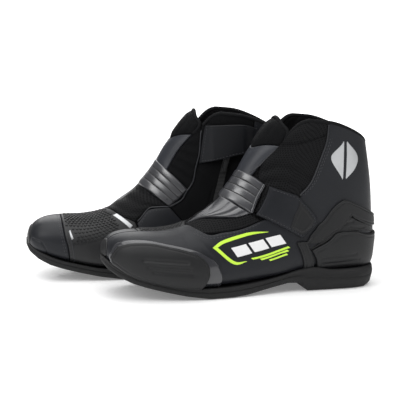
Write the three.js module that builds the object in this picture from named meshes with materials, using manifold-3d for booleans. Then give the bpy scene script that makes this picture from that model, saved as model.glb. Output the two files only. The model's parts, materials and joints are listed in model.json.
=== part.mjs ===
// A pair of ankle-high motorcycle riding boots, standing side by side.
//
// Each boot is drawn once, as a left boot, and the right boot is its mirror image. A point of the
// drawing is given by how far it lies ahead of the heel's back, its height above the ground, and how
// far it lies to the outer side of the centre plane. The toes point along -X and +Z is up.
import * as THREE from "three";
import { mergeVertices } from "three/addons/utils/BufferGeometryUtils.js";
import Module from "manifold-3d";

const wasm = await Module();
wasm.setup();

// ---- Driving sizes, in millimetres ----
const BOOT_LENGTH = 306; // heel back to toe tip
const BOOT_HEIGHT = 186; // ground to the highest point of the collar
const BALL_WIDTH = 98; // outsole, across the ball of the foot

const LEATHER = 2.2; // upper panels
const LINING = 1.8; // inner sock
const SEAM = 0.5; // gap between neighbouring panels
const CLEARANCE = 0.3; // gap between pieces that lie on each other
const RIB_HEIGHT = 4.6; // instep band, at the top of its ribs
const RIB_COUNT = 4;
const RIB_GROOVE = 1.4; // width of the grooves between ribs
const CUP_THICKNESS = 2.6; // heel cup
const PLATE_THICKNESS = 3.2; // heel plate
const BASE_THICKNESS = 1.8; // plate under the toe slider
const SLIDER_THICKNESS = 5.2; // toe slider
const SCREW_HEAD_RADIUS = 3;
const SCREW_HEAD_HEIGHT = 2;
const SCREW_SHANK_RADIUS = 1.5;
const STRAP_THICKNESS = 2.7; // with the touch fastener under it
const TIP_THICKNESS = 0.9; // patch on the strap's end
const KEEPER_HEIGHT = 3; // bar that the strap is sewn round
const SHANK_THICKNESS = 1; // steel strip in the insole board
const SHANK_WIDTH = 16;
const FOOTBED_THICKNESS = 4;
const TREAD_DEPTH = 2.4;
const TREAD_GROOVE = 3; // width of a groove across the tread
const ZIP_WIDTH = 7;
const ZIP_THICKNESS = 1.2;
const ZIP_SLIDER_LENGTH = 13;
const ZIP_SLIDER_HEIGHT = 2.6;
const ZIP_PARK = 9; // from the chain's top to the closed slider, which looks out from under the flap
const PULLER_LENGTH = 13;
const PULLER_WIDTH = 4;
const PULLER_THICKNESS = 1;
const FLAP_THICKNESS = 1.8;
const FLAP_BULGE = 5.8; // how far the flap stands off over the zip slider

const RIGHT_BOOT = { ahead: 67, aside: 106, turn: 8 }; // beside the left one, in mm and degrees

// ---- The drawing, made at one size and graded to the driving sizes ----
const DRAWN = { length: 306, height: 186, width: 98 };
const grade = {
  length: BOOT_LENGTH / DRAWN.length,
  height: BOOT_HEIGHT / DRAWN.height,
  width: BALL_WIDTH / DRAWN.width,
};
const FAR = 90; // beyond the boot's side, in drawing units
const OUTSIDE = 20; // beyond its outline

// The place in the boot's own frame of a point of the drawing.
const place = (ahead, height, out) =>
  new THREE.Vector3(BOOT_LENGTH / 2 - ahead * grade.length, -out * grade.width, height * grade.height);

// Sections of the last, from the toe tip round the heel to the collar. Each lies between a point on
// the top line and one on the sole or the back, and its half breadths are to the outer and inner
// side of shift. waist is the widest place's share of the way down, and round shapes its two ends.
const LAST = [
  { top: [299.5, 48], sole: [299.5, 44], breadth: [4, 4], shift: -9, waist: 0.5, round: [2, 2] },
  { top: [296.5, 56], sole: [297.5, 38], breadth: [19, 19], shift: -9, waist: 0.52, round: [2.2, 2.4] },
  { top: [290, 62], sole: [290, 31], breadth: [29, 28], shift: -8, waist: 0.56, round: [2.3, 2.8] },
  { top: [279, 65.5], sole: [276, 25.5], breadth: [37, 36], shift: -5, waist: 0.6, round: [2.4, 3.2] },
  { top: [262, 66.5], sole: [257, 20.5], breadth: [43, 41], shift: -3, waist: 0.64, round: [2.4, 3.6] },
  { top: [240, 66.5], sole: [231, 15], breadth: [47, 44], shift: -1, waist: 0.68, round: [2.4, 3.8] },
  { top: [217, 71], sole: [200, 12], breadth: [47, 43], shift: 0, waist: 0.72, round: [2.3, 3.8] },
  { top: [196, 83], sole: [165, 12], breadth: [44, 40], shift: 1, waist: 0.74, round: [2.2, 3.4] },
  { top: [180, 95], sole: [125, 15], breadth: [40, 37], shift: 1, waist: 0.74, round: [2.1, 3] },
  { top: [167, 109], sole: [86, 19], breadth: [37, 35], shift: 0, waist: 0.7, round: [2.1, 3] },
  { top: [157, 122], sole: [46, 19], breadth: [35.5, 35.5], shift: 0, waist: 0.62, round: [2.1, 2.8] },
  { top: [149, 135], sole: [12, 21], breadth: [35, 35.5], shift: 0, waist: 0.55, round: [2.1, 2.6] },
  { top: [142, 147], sole: [3.5, 45], breadth: [35, 35.2], shift: 0, waist: 0.5, round: [2.1, 2.3] },
  { top: [135.5, 158], sole: [3.5, 76], breadth: [35.5, 35], shift: 0, waist: 0.5, round: [2.1, 2.2] },
  { top: [128.5, 168], sole: [6, 110], breadth: [36, 34.8], shift: 0, waist: 0.5, round: [2.1, 2.2] },
  { top: [120, 178], sole: [11, 145], breadth: [37, 34.6], shift: 0, waist: 0.5, round: [2.1, 2.2] },
  { top: [110, 188], sole: [16, 178], breadth: [37.5, 34.5], shift: 0, waist: 0.5, round: [2.1, 2.2] },
];
const LAST_END = LAST.length - 1;

// Edges in the side view, shared by the pieces on either side. Each is a run of [ahead, height].
const EDGE = {
  feather: [[325, 60], [299, 43], [290, 35], [276, 29], [257, 24], [231, 18.5], [200, 15.5], [165, 15.5],
    [125, 18.5], [88, 22.5], [50, 22.5], [20, 24], [-20, 26]],
  rim: [[112, 158], [103, 172], [94, 181], [84, 185], [75, 186], [64, 183.5], [42, 176], [23, 166],
    [12, 157], [-20, 146]],
  crescent: [[215, 71.5], [207, 68.5], [197, 67], [179, 68.5], [156, 72], [137, 79]],
  pleats: [[214, 75], [199, 79.5], [182, 82], [161, 83], [147.5, 86.5]],
  keeper: [[131, 117.5], [147.5, 86.5]],
  underStrap: [[137, 79], [118, 86], [95, 103]],
  meshFront: [[145, 127], [134, 137], [123, 149], [112, 158]],
  meshRear: [[95, 103], [84, 116], [73, 142], [66, 163], [64, 183.5]],
  capSeam: [[266, 90], [264, 64], [260, 50], [256, 34], [254, 10]],
  padRear: [[213, 90], [211, 75], [197, 69.5], [181, 63], [176, 50], [172, 10]],
  pipingLow: [[181, 63], [166, 76.5], [142, 79.5]],
  pipingMid: [[142, 79.5], [128, 88], [121, 99]],
  pipingHigh: [[121, 99], [113, 118], [107.5, 142], [105.5, 169]],
  tongueInner: [[145, 124.5], [130, 142], [115, 161]],
  zipFoot: [[142, 79.5], [128, 64], [112, 52], [95, 47], [74, 56]],
  zipRear: [[74, 56], [60, 88], [51, 130], [46, 178]],
};
const RIBS_TOP_OUTER = [[168, 143], [152, 132], [131, 117.5]];
const RIBS_FOOT_OUTER = [[147.5, 86.5], [162, 96], [175, 104.5], [191, 114]];
const RIBS_TOP_INNER = [[168, 143], [152, 132], [121, 99]];
const RIBS_FOOT_INNER = [[142, 79.5], [162, 94], [175, 104.5], [191, 114]];

// The outsole's outline in plan, as [ahead, out], from the heel's back round the outer side.
const SOLE_PLAN = [[0.5, 0], [7, 20], [26, 33], [55, 35.5], [88, 36], [122, 40], [155, 46.5], [190, 50.5],
  [222, 50.5], [250, 46.5], [273, 38.5], [291, 25.5], [302, 9], [304.5, -9], [300, -25], [288, -38], [268, -45.5],
  [240, -47.5],
  [205, -45.5], [165, -40], [125, -36], [88, -34], [55, -34], [26, -32], [7, -20]];
// Its underside and its upper edge in the side view, as [ahead, height].
const SOLE_FOOT = [[2, 9], [7, 3], [16, 0], [84, 0], [92, 9], [106, 10], [132, 5.5], [156, 1.2], [170, 0],
  [196, 0],
  [221, 4], [245, 9.5], [263, 14], [277, 18], [290, 24], [300, 31], [306, 40]];
const SOLE_TOP = [[306, 52], [301, 47], [292, 35], [269, 25], [245, 19], [222, 14], [200, 12], [172, 12],
  [139, 15],
  [115, 19], [96, 24], [81, 26.5], [73, 26], [57, 17.5], [38, 16.5], [0, 17.5]];
const HEEL_BREAST = 88; // ahead of the heel's back, where the heel block ends

const CUP = [[95, 10], [94, 43], [87, 55], [74, 73], [61, 87], [53, 95], [46, 99], [38, 97], [16, 86],
  [-20, 73],
  [-20, 62], [12, 67], [31, 76], [36, 81], [48, 67], [58, 61], [83, 47], [83, 10]];
const HEEL_PLATE = [[82, 10], [82, 45.5], [58, 59], [48, 64], [14, 63], [-20, 58], [-20, 10]];
const SLIDER = [[294, 44], [291, 51], [283, 56], [262, 57], [239, 53.5], [217, 49], [205, 43], [198, 34],
  [199, 22],
  [206, 15.5], [245, 22], [269, 28], [286, 35.5], [292, 40]];
const SLIDER_BASE = [[297, 43], [293, 54], [283, 59], [262, 60], [239, 56.5], [216, 52], [201, 46], [187, 33],
  [186, 15], [206, 13.5], [245, 20], [269, 26], [288, 34], [295, 40]];
const STRAP = [[126.3, 115.3], [97, 105.5], [85, 92], [76, 79], [82, 68], [93, 59.5], [118, 73.5], [142.9, 85]];
const STRAP_TIP = [[95, 99.5], [87, 90], [79.5, 79], [84.5, 69.5], [93, 63.5], [106, 71]];
const FLAP = [[100, 171], [104, 150], [108, 129], [62, 140], [47, 144], [44, 168], [60, 174]];
const ZIP_LINE = [[74, 152], [95, 66]]; // top and foot of the zip
const SLIDER_SCREWS = [[283, 45], [208, 31]];

// ---- Solids ----

// A three.js geometry as a manifold solid, with its faces pointing out.
function solidOf(geometry, matrix) {
  const bare = geometry.index ? geometry.toNonIndexed() : geometry.clone();
  for (const name of Object.keys(bare.attributes)) if (name !== "position") bare.deleteAttribute(name);
  if (matrix) bare.applyMatrix4(matrix);
  const merged = mergeVertices(bare, 1e-3);
  const vertProperties = new Float32Array(merged.attributes.position.array);
  const triVerts = new Uint32Array(merged.index.array);
  const made = new wasm.Manifold(new wasm.Mesh({ numProp: 3, vertProperties, triVerts }));
  if (made.volume() > 0) return made;
  for (let i = 0; i < triVerts.length; i += 3)
    [triVerts[i + 1], triVerts[i + 2]] = [triVerts[i + 2], triVerts[i + 1]];
  return new wasm.Manifold(new wasm.Mesh({ numProp: 3, vertProperties, triVerts }));
}

function geometryOf(solid) {
  const mesh = solid.getMesh();
  const positions = new Float32Array(mesh.numVert * 3);
  for (let i = 0; i < mesh.numVert; i++)
    positions.set(mesh.vertProperties.subarray(i * mesh.numProp, i * mesh.numProp + 3), i * 3);
  const geometry = new THREE.BufferGeometry();
  geometry.setAttribute("position", new THREE.BufferAttribute(positions, 3));
  geometry.setIndex(new THREE.BufferAttribute(new Uint32Array(mesh.triVerts), 1));
  geometry.computeVertexNormals();
  return geometry;
}

// The value of one of the last's measures at t, which runs from 0 to LAST_END, as a smooth curve.
function measure(read, t) {
  const i = Math.min(Math.floor(t), LAST_END - 1);
  const f = t - i;
  const [a, b, c, d] = [i - 1, i, i + 1, i + 2].map((k) => read(LAST[Math.max(0, Math.min(LAST_END, k))]));
  return b + 0.5 * f * (c - a + f * (2 * a - 5 * b + 4 * c - d + f * (3 * (b - c) + d - a)));
}

// A point on the last. angle is 0 on the top line, positive to the outer side and PI on the sole.
function onLast(t, angle) {
  const top = [0, 1].map((k) => measure((s) => s.top[k], t));
  const sole = [0, 1].map((k) => measure((s) => s.sole[k], t));
  const waist = measure((s) => s.waist, t);
  const breadth = measure((s) => s.breadth[angle >= 0 ? 0 : 1], t);
  const upper = Math.cos(angle) >= 0;
  const power = 2 / measure((s) => s.round[upper ? 0 : 1], t);
  const down = Math.abs(Math.cos(angle)) ** power;
  const share = upper ? waist * (1 - down) : waist + (1 - waist) * down;
  const out = measure((s) => s.shift, t) + Math.sign(angle) * breadth * Math.abs(Math.sin(angle)) ** power;
  return place(top[0] + share * (sole[0] - top[0]), top[1] + share * (sole[1] - top[1]), out);
}

// The same point moved out of the last by a distance.
function offLast(t, angle, distance) {
  const step = 0.02;
  const low = Math.max(t - step, 0.1);
  const high = Math.max(t + step, 0.1 + 2 * step);
  const along = onLast(Math.min(high, LAST_END), angle).sub(onLast(low, angle));
  const round = onLast(t, Math.min(angle + step, Math.PI)).sub(onLast(t, Math.max(angle - step, -Math.PI)));
  if (Math.PI - Math.abs(angle) < step)
    round.copy(onLast(t, step - Math.PI)).sub(onLast(t, Math.PI - step));
  return onLast(t, angle).addScaledVector(round.cross(along).normalize(), distance);
}

const ROWS = 16;
const COLUMNS = 14;

// One skin of the last at a distance that may vary with t and angle, as a grid of points. Its rows
// lie close together round the toe, where the last curves most.
function skin(distance, columns) {
  const distanceAt = typeof distance === "function" ? distance : () => distance;
  return Array.from({ length: ROWS + 1 }, (_, i) =>
    Array.from({ length: columns }, (_, j) => {
      const t = LAST_END * (i / ROWS) ** 1.12;
      const angle = (2 * Math.PI * j) / columns - Math.PI;
      return offLast(t, angle, distanceAt(t, angle));
    }),
  );
}

function skinTriangles(grid) {
  const triangles = [];
  const columns = grid[0].length;
  for (let i = 0; i < ROWS; i++)
    for (let j = 0; j < columns; j++) {
      const k = (j + 1) % columns;
      triangles.push(grid[i][j], grid[i][k], grid[i + 1][k], grid[i][j], grid[i + 1][k], grid[i + 1][j]);
    }
  for (let j = 1; j < columns - 1; j++) triangles.push(grid[0][0], grid[0][j + 1], grid[0][j]);
  return triangles;
}

function solidOfTriangles(points) {
  return solidOf(new THREE.BufferGeometry().setFromPoints(points));
}

// Everything within a distance of the last, closed flat across the collar.
function bodyAt(distance) {
  const grid = skin(distance, COLUMNS);
  const rim = grid[ROWS];
  const lid = rim.slice(1, -1).flatMap((point, j) => [rim[0], point, rim[j + 2]]);
  return solidOfTriangles([...skinTriangles(grid), ...lid]);
}

// The layer between two distances from the last, open at the collar.
function layer(inner, outer, columns = COLUMNS) {
  const inside = skin(inner, columns);
  const outside = skin(outer, columns);
  const triangles = [...skinTriangles(outside), ...skinTriangles(inside).reverse()];
  outside[ROWS].forEach((a, j) => {
    const k = (j + 1) % columns;
    const [b, c, d] = [outside[ROWS][k], inside[ROWS][k], inside[ROWS][j]];
    triangles.push(a, b, c, a, c, d);
  });
  return solidOfTriangles(triangles);
}

// An outline drawn in from its edge all round by a distance.
function inset(points, distance) {
  const loop = points.filter((p, i) => p.distanceTo(points[(i + 1) % points.length]) > 1e-6);
  const turn = Math.sign(THREE.ShapeUtils.area(loop));
  return loop.map((p, i) => {
    const before = p.clone().sub(loop[(i + loop.length - 1) % loop.length]).normalize();
    const after = loop[(i + 1) % loop.length].clone().sub(p).normalize();
    const inward = new THREE.Vector2(-before.y - after.y, before.x + after.x);
    inward.multiplyScalar(turn).normalize();
    const half = Math.sqrt(Math.max(0.2, (1 + before.dot(after)) / 2));
    return p.clone().addScaledVector(inward, distance / half);
  });
}

// Runs of [ahead, height] joined into one outline. A run written backwards is given as back(run).
const back = (run) => [...run].reverse();
const outline = (...runs) => runs.flat().map(([x, y]) => new THREE.Vector2(x, y));

// The column of space behind a side-view outline, from one distance out of the centre plane to another.
function sideCut(points, from, to, margin = SEAM / 2) {
  const shape = new THREE.Shape(margin ? inset(points, margin) : points);
  const geometry = new THREE.ExtrudeGeometry(shape, { depth: to - from, bevelEnabled: false });
  const origin = place(0, 0, from);
  const matrix = new THREE.Matrix4().makeBasis(
    place(1, 0, from).sub(origin),
    place(0, 1, from).sub(origin),
    place(0, 0, from + 1).sub(origin),
  );
  return solidOf(geometry, matrix.setPosition(origin));
}

// The column of space over a plan outline.
function planCut(points, from, to) {
  const shape = new THREE.Shape(points);
  const geometry = new THREE.ExtrudeGeometry(shape, { depth: to - from, bevelEnabled: false });
  const origin = place(0, from, 0);
  const matrix = new THREE.Matrix4().makeBasis(
    place(1, from, 0).sub(origin),
    place(0, from, 1).sub(origin),
    place(0, from + 1, 0).sub(origin),
  );
  return solidOf(geometry, matrix.setPosition(origin));
}

// The t and angle of the last's point that shows at a place in the side view, on one side.
function lastAt(ahead, height, outer) {
  const wanted = place(ahead, height, 0);
  const across = (t) => {
    const [top, sole] = [onLast(t, 0), onLast(t, Math.PI)];
    return (sole.x - top.x) * (wanted.z - top.z) - (sole.z - top.z) * (wanted.x - top.x);
  };
  let [low, high] = [0.5, LAST_END];
  for (let i = 0; i < 40; i++) {
    const middle = (low + high) / 2;
    if (across(middle) * across(low) > 0) low = middle;
    else high = middle;
  }
  const ridge = onLast(low, 0);
  const down = onLast(low, Math.PI).sub(ridge);
  const shareAt = (angle) => onLast(low, angle).sub(ridge).dot(down);
  const goal = wanted.sub(ridge).setY(0).dot(down.setY(0));
  let [first, last] = [0, Math.PI];
  for (let i = 0; i < 40; i++) {
    const middle = (first + last) / 2;
    if (shareAt(middle) < goal) first = middle;
    else last = middle;
  }
  return [low, outer ? first : -first];
}

// A point over the last at a place in the side view, and the way out of the last there.
function over(ahead, height, outer, distance) {
  const [t, angle] = lastAt(ahead, height, outer);
  return offLast(t, angle, distance);
}
function wayOut(ahead, height, outer) {
  return over(ahead, height, outer, 1).sub(over(ahead, height, outer, 0)).normalize();
}

// A frame on the last: its Y runs along the given direction and its Z points out.
function frameOn(origin, along, out) {
  const y = along.clone().normalize();
  const x = y.clone().cross(out).normalize();
  return new THREE.Matrix4().makeBasis(x, y, x.clone().cross(y)).setPosition(origin);
}

const cylinder = (radius, height, sides = 14) =>
  new THREE.CylinderGeometry(radius, radius, height, sides).rotateX(Math.PI / 2);
const shifted = (geometry, x, y, z) => geometry.translate(x, y, z);

// ---- Materials ----
const finish = (color, roughness, metalness = 0) =>
  new THREE.MeshStandardMaterial({ color, roughness, metalness });
const MATERIAL = {
  leather: finish(0x26272b, 0.5),
  gloss_leather: finish(0x2e2f34, 0.32),
  mesh: finish(0x141416, 0.9),
  textile: finish(0x111113, 0.85),
  lining: finish(0x18181b, 0.95),
  rubber: finish(0x1d1d1e, 0.7),
  tpu: finish(0x242425, 0.55),
  gloss_tpu: finish(0x141415, 0.2),
  board: finish(0x5c4a34, 0.9),
  steel: finish(0x8c8f92, 0.4, 1),
  foam: finish(0x2c2c30, 0.95),
  zip: finish(0x101011, 0.5),
  screw: finish(0x202124, 0.4, 1),
};

// ---- One boot ----
function makeBoot(label) {
  const boot = new THREE.Group();
  const add = (name, solid, material) => {
    const mesh = new THREE.Mesh(geometryOf(solid), material);
    mesh.name = `${label}_${name}`;
    boot.add(mesh);
    return mesh;
  };

  // Layers of the upper.
  const first = CLEARANCE + LEATHER; // where the second layer starts
  const panels = layer(0, LEATHER);
  const trimmed = (solid, ...cuts) => cuts.reduce((made, cut) => made.subtract(cut), solid);

  // The sock lining lies inside the panels and is cut to the collar's rim.
  const openTop = sideCut(outline([[-20, 230]], back(EDGE.rim), [[118, 150], [124, 230]]), -FAR, FAR, 0);
  add("lining", trimmed(layer(-CLEARANCE - LINING, -CLEARANCE), openTop), MATERIAL.lining);

  // The footbed lies loose on the lining's floor.
  const floor = back(EDGE.feather.slice(1)).map(([x, y]) => [x, y - 3]);
  const bed = outline(
    floor.map(([x, y]) => [x, y - 20]),
    back(floor).map(([x, y]) => [x, y + (LINING + 2 * CLEARANCE + FOOTBED_THICKNESS) / grade.height]),
  );
  const inside = bodyAt(-2 * CLEARANCE - LINING);
  add("footbed", inside.intersect(sideCut(bed, -FAR, FAR, 0)), MATERIAL.foam);

  // The insole board closes the upper underneath, with the steel shank let into its lower face.
  const shankPlan = (grow) => {
    const half = SHANK_WIDTH / 2 / grade.width + grow;
    return [[62 - grow, -half], [150 + grow, -half], [150 + grow, half], [62 - grow, half]].map(
      ([x, y]) => new THREE.Vector2(x, y),
    );
  };
  const below = outline([[-20, -20], [325, -20]], EDGE.feather);
  const shankLevel = LEATHER - SHANK_THICKNESS - CLEARANCE;
  const strip = layer(shankLevel, shankLevel + SHANK_THICKNESS).intersect(planCut(shankPlan(0), -10, 40));
  add("shank", strip, MATERIAL.steel);
  const room = layer(shankLevel - CLEARANCE, LEATHER + 1);
  const pocket = room.intersect(planCut(shankPlan(CLEARANCE), -10, 40));
  add("insole_board", panels.intersect(sideCut(below, -FAR, FAR)).subtract(pocket), MATERIAL.board);

  // Upper panels. ridge is where the toe's inner panels reach over the top line.
  const ridge = 8;
  const upper = (points, from, to) => panels.intersect(sideCut(points, from, to));
  const INNER = [-FAR, -SEAM / 2];
  const OUTER = [SEAM / 2, FAR];
  const bothSides = (outer, inner) => sideCut(outer, -0.2, FAR).add(sideCut(inner, -FAR, 0.2));

  const capEdge = outline(EDGE.capSeam, [[330, 10], [330, 90]]);
  const above = sideCut(below, -FAR, FAR, -SEAM / 2);
  add("toe_cap", upper(capEdge, -FAR, ridge).subtract(above), MATERIAL.leather);
  const padEdge = outline(EDGE.padRear, back(EDGE.capSeam));
  add("shift_pad", upper(padEdge, -FAR, ridge).subtract(above), MATERIAL.rubber);

  const outerWhole = outline([[330, 90], [211, 90]], EDGE.crescent, EDGE.underStrap.slice(1),
    EDGE.meshRear.slice(1), EDGE.rim.slice(6), [[-20, -20], [330, -20]]);
  const toeInner = outline(EDGE.padRear, [[330, 10], [330, 90]]);
  const overRidge = sideCut(toeInner, -FAR, ridge + SEAM / grade.width, -SEAM / 2);
  const outerShell = upper(outerWhole, ...OUTER).subtract(above).subtract(overRidge);
  add("lateral_shell", outerShell, MATERIAL.leather);

  const mesh = outline(EDGE.crescent, [[147.5, 86.5]], back(EDGE.pleats).slice(1));
  add("vamp_mesh", upper(mesh, ...OUTER).subtract(overRidge), MATERIAL.mesh);
  const pleats = outline([[211, 95]], EDGE.pleats, RIBS_FOOT_OUTER.slice(1));
  const pleatsLayer = layer(0, LEATHER + 1);
  const pleatsSolid = pleatsLayer.intersect(sideCut(pleats, ...OUTER)).subtract(overRidge);
  add("flex_pleats", pleatsSolid, MATERIAL.gloss_leather);

  const collarOuter = outline(EDGE.meshFront, EDGE.rim.slice(1, 6), back(EDGE.meshRear).slice(1),
    back(EDGE.underStrap).slice(1), [[147.5, 86.5], [131, 117.5]]);
  add("collar_lateral", upper(collarOuter, ...OUTER), MATERIAL.mesh);

  const tongueOuter = outline([[168, 143], [152, 132], [145, 127]], EDGE.meshFront.slice(1),
    [[106, 172], [103, 200], [140, 200]]);
  const tongueInner = outline([[168, 143], [152, 132]], EDGE.tongueInner, [[107, 172], [103, 200], [140, 200]]);
  add("tongue", panels.intersect(bothSides(tongueOuter, tongueInner)), MATERIAL.leather);

  const gusset = outline([[121, 99]], EDGE.tongueInner, [[105.5, 169]], back(EDGE.pipingHigh).slice(1, -1));
  add("gusset", upper(gusset, ...INNER), MATERIAL.textile);
  const vampTextile = outline([[211, 90], [211, 75], [197, 69.5], [181, 63]], EDGE.pipingLow.slice(1),
    RIBS_FOOT_INNER.slice(1));
  add("vamp_textile", upper(vampTextile, ...INNER), MATERIAL.textile);

  const collarInner = outline(EDGE.pipingMid, EDGE.pipingHigh.slice(1), [[100, 176]], EDGE.rim.slice(2, 6),
    back(EDGE.zipRear), back(EDGE.zipFoot).slice(1, -1));
  add("collar_medial", upper(collarInner, ...INNER), MATERIAL.textile);

  const innerShell = outline([[181, 63]], EDGE.pipingLow.slice(1), EDGE.zipFoot.slice(1), EDGE.zipRear.slice(1),
    EDGE.rim.slice(6), [[-20, -20], [172, -20], [172, 10], [176, 50]]);
  add("medial_shell", upper(innerShell, -FAR, -SEAM / 2).subtract(above), MATERIAL.leather);

  // The ribbed band over the instep, from the keeper to the inner piping.
  const bandOuter = outline(RIBS_TOP_OUTER, RIBS_FOOT_OUTER);
  const bandInner = outline(RIBS_TOP_INNER, back(EDGE.pipingMid).slice(1, -1), RIBS_FOOT_INNER);
  let band = layer(0, RIB_HEIGHT).intersect(bothSides(bandOuter, bandInner));
  const grooves = layer(RIB_HEIGHT / 2, RIB_HEIGHT + 1);
  for (let i = 1; i < RIB_COUNT; i++) {
    const share = i / RIB_COUNT;
    const sides = [
      [RIBS_TOP_OUTER, back(RIBS_FOOT_OUTER), OUTER],
      [RIBS_TOP_INNER, back(RIBS_FOOT_INNER), INNER],
    ];
    for (const [top, foot, range] of sides) {
      const start = new THREE.Vector2(...top[0]).lerp(new THREE.Vector2(...foot[0]), share);
      const end = new THREE.Vector2(...top.at(-1)).lerp(new THREE.Vector2(...foot.at(-1)), share);
      const aside = end.clone().sub(start).normalize();
      const width = new THREE.Vector2(-aside.y, aside.x).multiplyScalar(RIB_GROOVE / 2);
      end.addScaledVector(aside, 5);
      const [a, b] = [start.clone().add(width), end.clone().add(width)];
      const strip = [a, b, end.sub(width), start.sub(width)];
      band = band.subtract(grooves.intersect(sideCut(strip, ...range, 0)));
    }
  }
  add("instep_ribs", band, MATERIAL.gloss_leather);

  // Outsole, cupped round the lasted upper.
  const plan = new THREE.SplineCurve([...SOLE_PLAN, SOLE_PLAN[0]].map(([x, y]) => new THREE.Vector2(x, y)));
  const profile = new THREE.SplineCurve(outline(SOLE_FOOT.slice(9)));
  const soleSide = [...outline(SOLE_FOOT.slice(0, 9)), ...profile.getPoints(9), ...outline(SOLE_TOP)];
  let sole = planCut(plan.getPoints(36).slice(0, -1), -5, 60).intersect(sideCut(soleSide, -FAR, FAR, 0));
  sole = sole.subtract(bodyAt(LEATHER + CLEARANCE));
  const treads = [22, 36, 50, 64, 176, 188, 200];
  for (const ahead of treads) {
    const half = TREAD_GROOVE / 2;
    const cut = [[ahead - half, -3], [ahead + half, -3], [ahead + half, TREAD_DEPTH],
      [ahead - half, TREAD_DEPTH]];
    const reach = ahead < HEEL_BREAST ? 22 : 32;
    sole = sole.subtract(sideCut(outline(cut), -reach, reach, 0));
  }
  add("outsole", sole, MATERIAL.rubber);

  // Heel cup and heel plate, over the quarters and down to the outsole.
  const soleLine = SOLE_TOP.map(([x, y]) => [x, y + SEAM]);
  const soleSpace = sideCut(outline([[-20, -20], [330, -20]], soleLine, [[-20, 17.5 + SEAM]]), -FAR, FAR, 0);
  const cupLayer = layer(first, first + CUP_THICKNESS).subtract(soleSpace);
  add("heel_cup", cupLayer.intersect(sideCut(outline(CUP), -FAR, FAR)), MATERIAL.tpu);
  const plateLayer = layer(first, first + PLATE_THICKNESS).subtract(soleSpace);
  add("heel_plate", plateLayer.intersect(sideCut(outline(HEEL_PLATE), -FAR, FAR)), MATERIAL.tpu);

  // Toe slider on its base, held by two screws.
  const sliderFloor = first + BASE_THICKNESS + CLEARANCE;
  const up = new THREE.Vector3(0, 0, 1);
  const screwFrames = SLIDER_SCREWS.map(([ahead, height]) =>
    frameOn(over(ahead, height, true, sliderFloor), up, wayOut(ahead, height, true)),
  );
  const headFloor = SLIDER_THICKNESS - SCREW_HEAD_HEIGHT - 0.4;
  const screwAt = (matrix, play) => {
    // The hole for the head is open above.
    const height = SCREW_HEAD_HEIGHT + play * 12;
    const head = shifted(cylinder(SCREW_HEAD_RADIUS + play, height), 0, 0, headFloor - play + height / 2);
    const length = headFloor + BASE_THICKNESS;
    const shank = cylinder(SCREW_SHANK_RADIUS + play, length + 2 * play);
    return solidOf(head, matrix).add(solidOf(shifted(shank, 0, 0, headFloor + 0.5 - length / 2), matrix));
  };
  let base = layer(first, first + BASE_THICKNESS).subtract(soleSpace);
  base = base.intersect(sideCut(outline(SLIDER_BASE), ridge, FAR, 0));
  let slider = layer(sliderFloor, sliderFloor + SLIDER_THICKNESS);
  slider = slider.intersect(sideCut(outline(SLIDER), ridge, FAR, 0));
  for (const matrix of screwFrames) {
    base = base.subtract(screwAt(matrix, CLEARANCE));
    slider = slider.subtract(screwAt(matrix, CLEARANCE));
  }
  add("slider_base", base, MATERIAL.gloss_tpu);
  add("toe_slider", slider, MATERIAL.tpu);
  add("slider_screw_front", screwAt(screwFrames[0], 0), MATERIAL.screw);
  add("slider_screw_rear", screwAt(screwFrames[1], 0), MATERIAL.screw);

  // The ankle strap turns about the bar that it is sewn round.
  const keeper = outline([[130.4, 117], [146.4, 86.6], [143.5, 85], [127, 115.5]]);
  const bar = layer(first, first + KEEPER_HEIGHT).intersect(sideCut(keeper, ...OUTER));
  add("strap_keeper", bar, MATERIAL.gloss_tpu);
  const strapFloor = first + CLEARANCE;
  const strap = layer(strapFloor, strapFloor + STRAP_THICKNESS);
  add("ankle_strap", strap.intersect(sideCut(outline(STRAP), ...OUTER, 0)), MATERIAL.leather);
  const tipFloor = strapFloor + STRAP_THICKNESS + CLEARANCE;
  const tip = layer(tipFloor, tipFloor + TIP_THICKNESS);
  add("strap_tip", tip.intersect(sideCut(outline(STRAP_TIP), ...OUTER, 0)), MATERIAL.tpu);

  // The zip on the inner side: a straight chain, its slider near the top and the puller on it.
  const [zipTop, zipFoot] = ZIP_LINE.map(([x, y]) => over(x, y, false, first));
  const down = zipFoot.clone().sub(zipTop);
  const zipOut = wayOut(84, 110, false);
  zipOut.addScaledVector(down, -zipOut.dot(down) / down.lengthSq()).normalize();
  const proud = Math.max(
    ...Array.from({ length: 21 }, (_, i) => {
      const share = i / 20;
      const [x, y] = [0, 1].map((k) => ZIP_LINE[0][k] + share * (ZIP_LINE[1][k] - ZIP_LINE[0][k]));
      return over(x, y, false, first).sub(zipTop).dot(zipOut);
    }),
  );
  const zipMiddle = zipTop.clone().addScaledVector(down, 0.5);
  const zipFrame = frameOn(zipMiddle.addScaledVector(zipOut, proud + 0.2), down.clone().negate(), zipOut);
  const boxOn = (width, length, height, y, z) =>
    solidOf(new THREE.BoxGeometry(width, length, height).translate(0, y, z + height / 2), zipFrame);
  add("zip_chain", boxOn(ZIP_WIDTH, down.length(), ZIP_THICKNESS, 0, 0), MATERIAL.zip);
  const sliderY = down.length() / 2 - ZIP_SLIDER_LENGTH / 2 - ZIP_PARK;
  const sliderZ = ZIP_THICKNESS + CLEARANCE;
  const pivotY = sliderY - ZIP_SLIDER_LENGTH / 2 + 2.2;
  const plate = boxOn(ZIP_WIDTH - 0.5, ZIP_SLIDER_LENGTH, ZIP_SLIDER_HEIGHT - 1, sliderY, sliderZ);
  const bridge = boxOn(1.8, ZIP_SLIDER_LENGTH - 2, ZIP_SLIDER_HEIGHT, sliderY, sliderZ);
  add("zip_slider", plate.add(bridge), MATERIAL.screw);
  const pullerZ = sliderZ + ZIP_SLIDER_HEIGHT + CLEARANCE;
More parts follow.
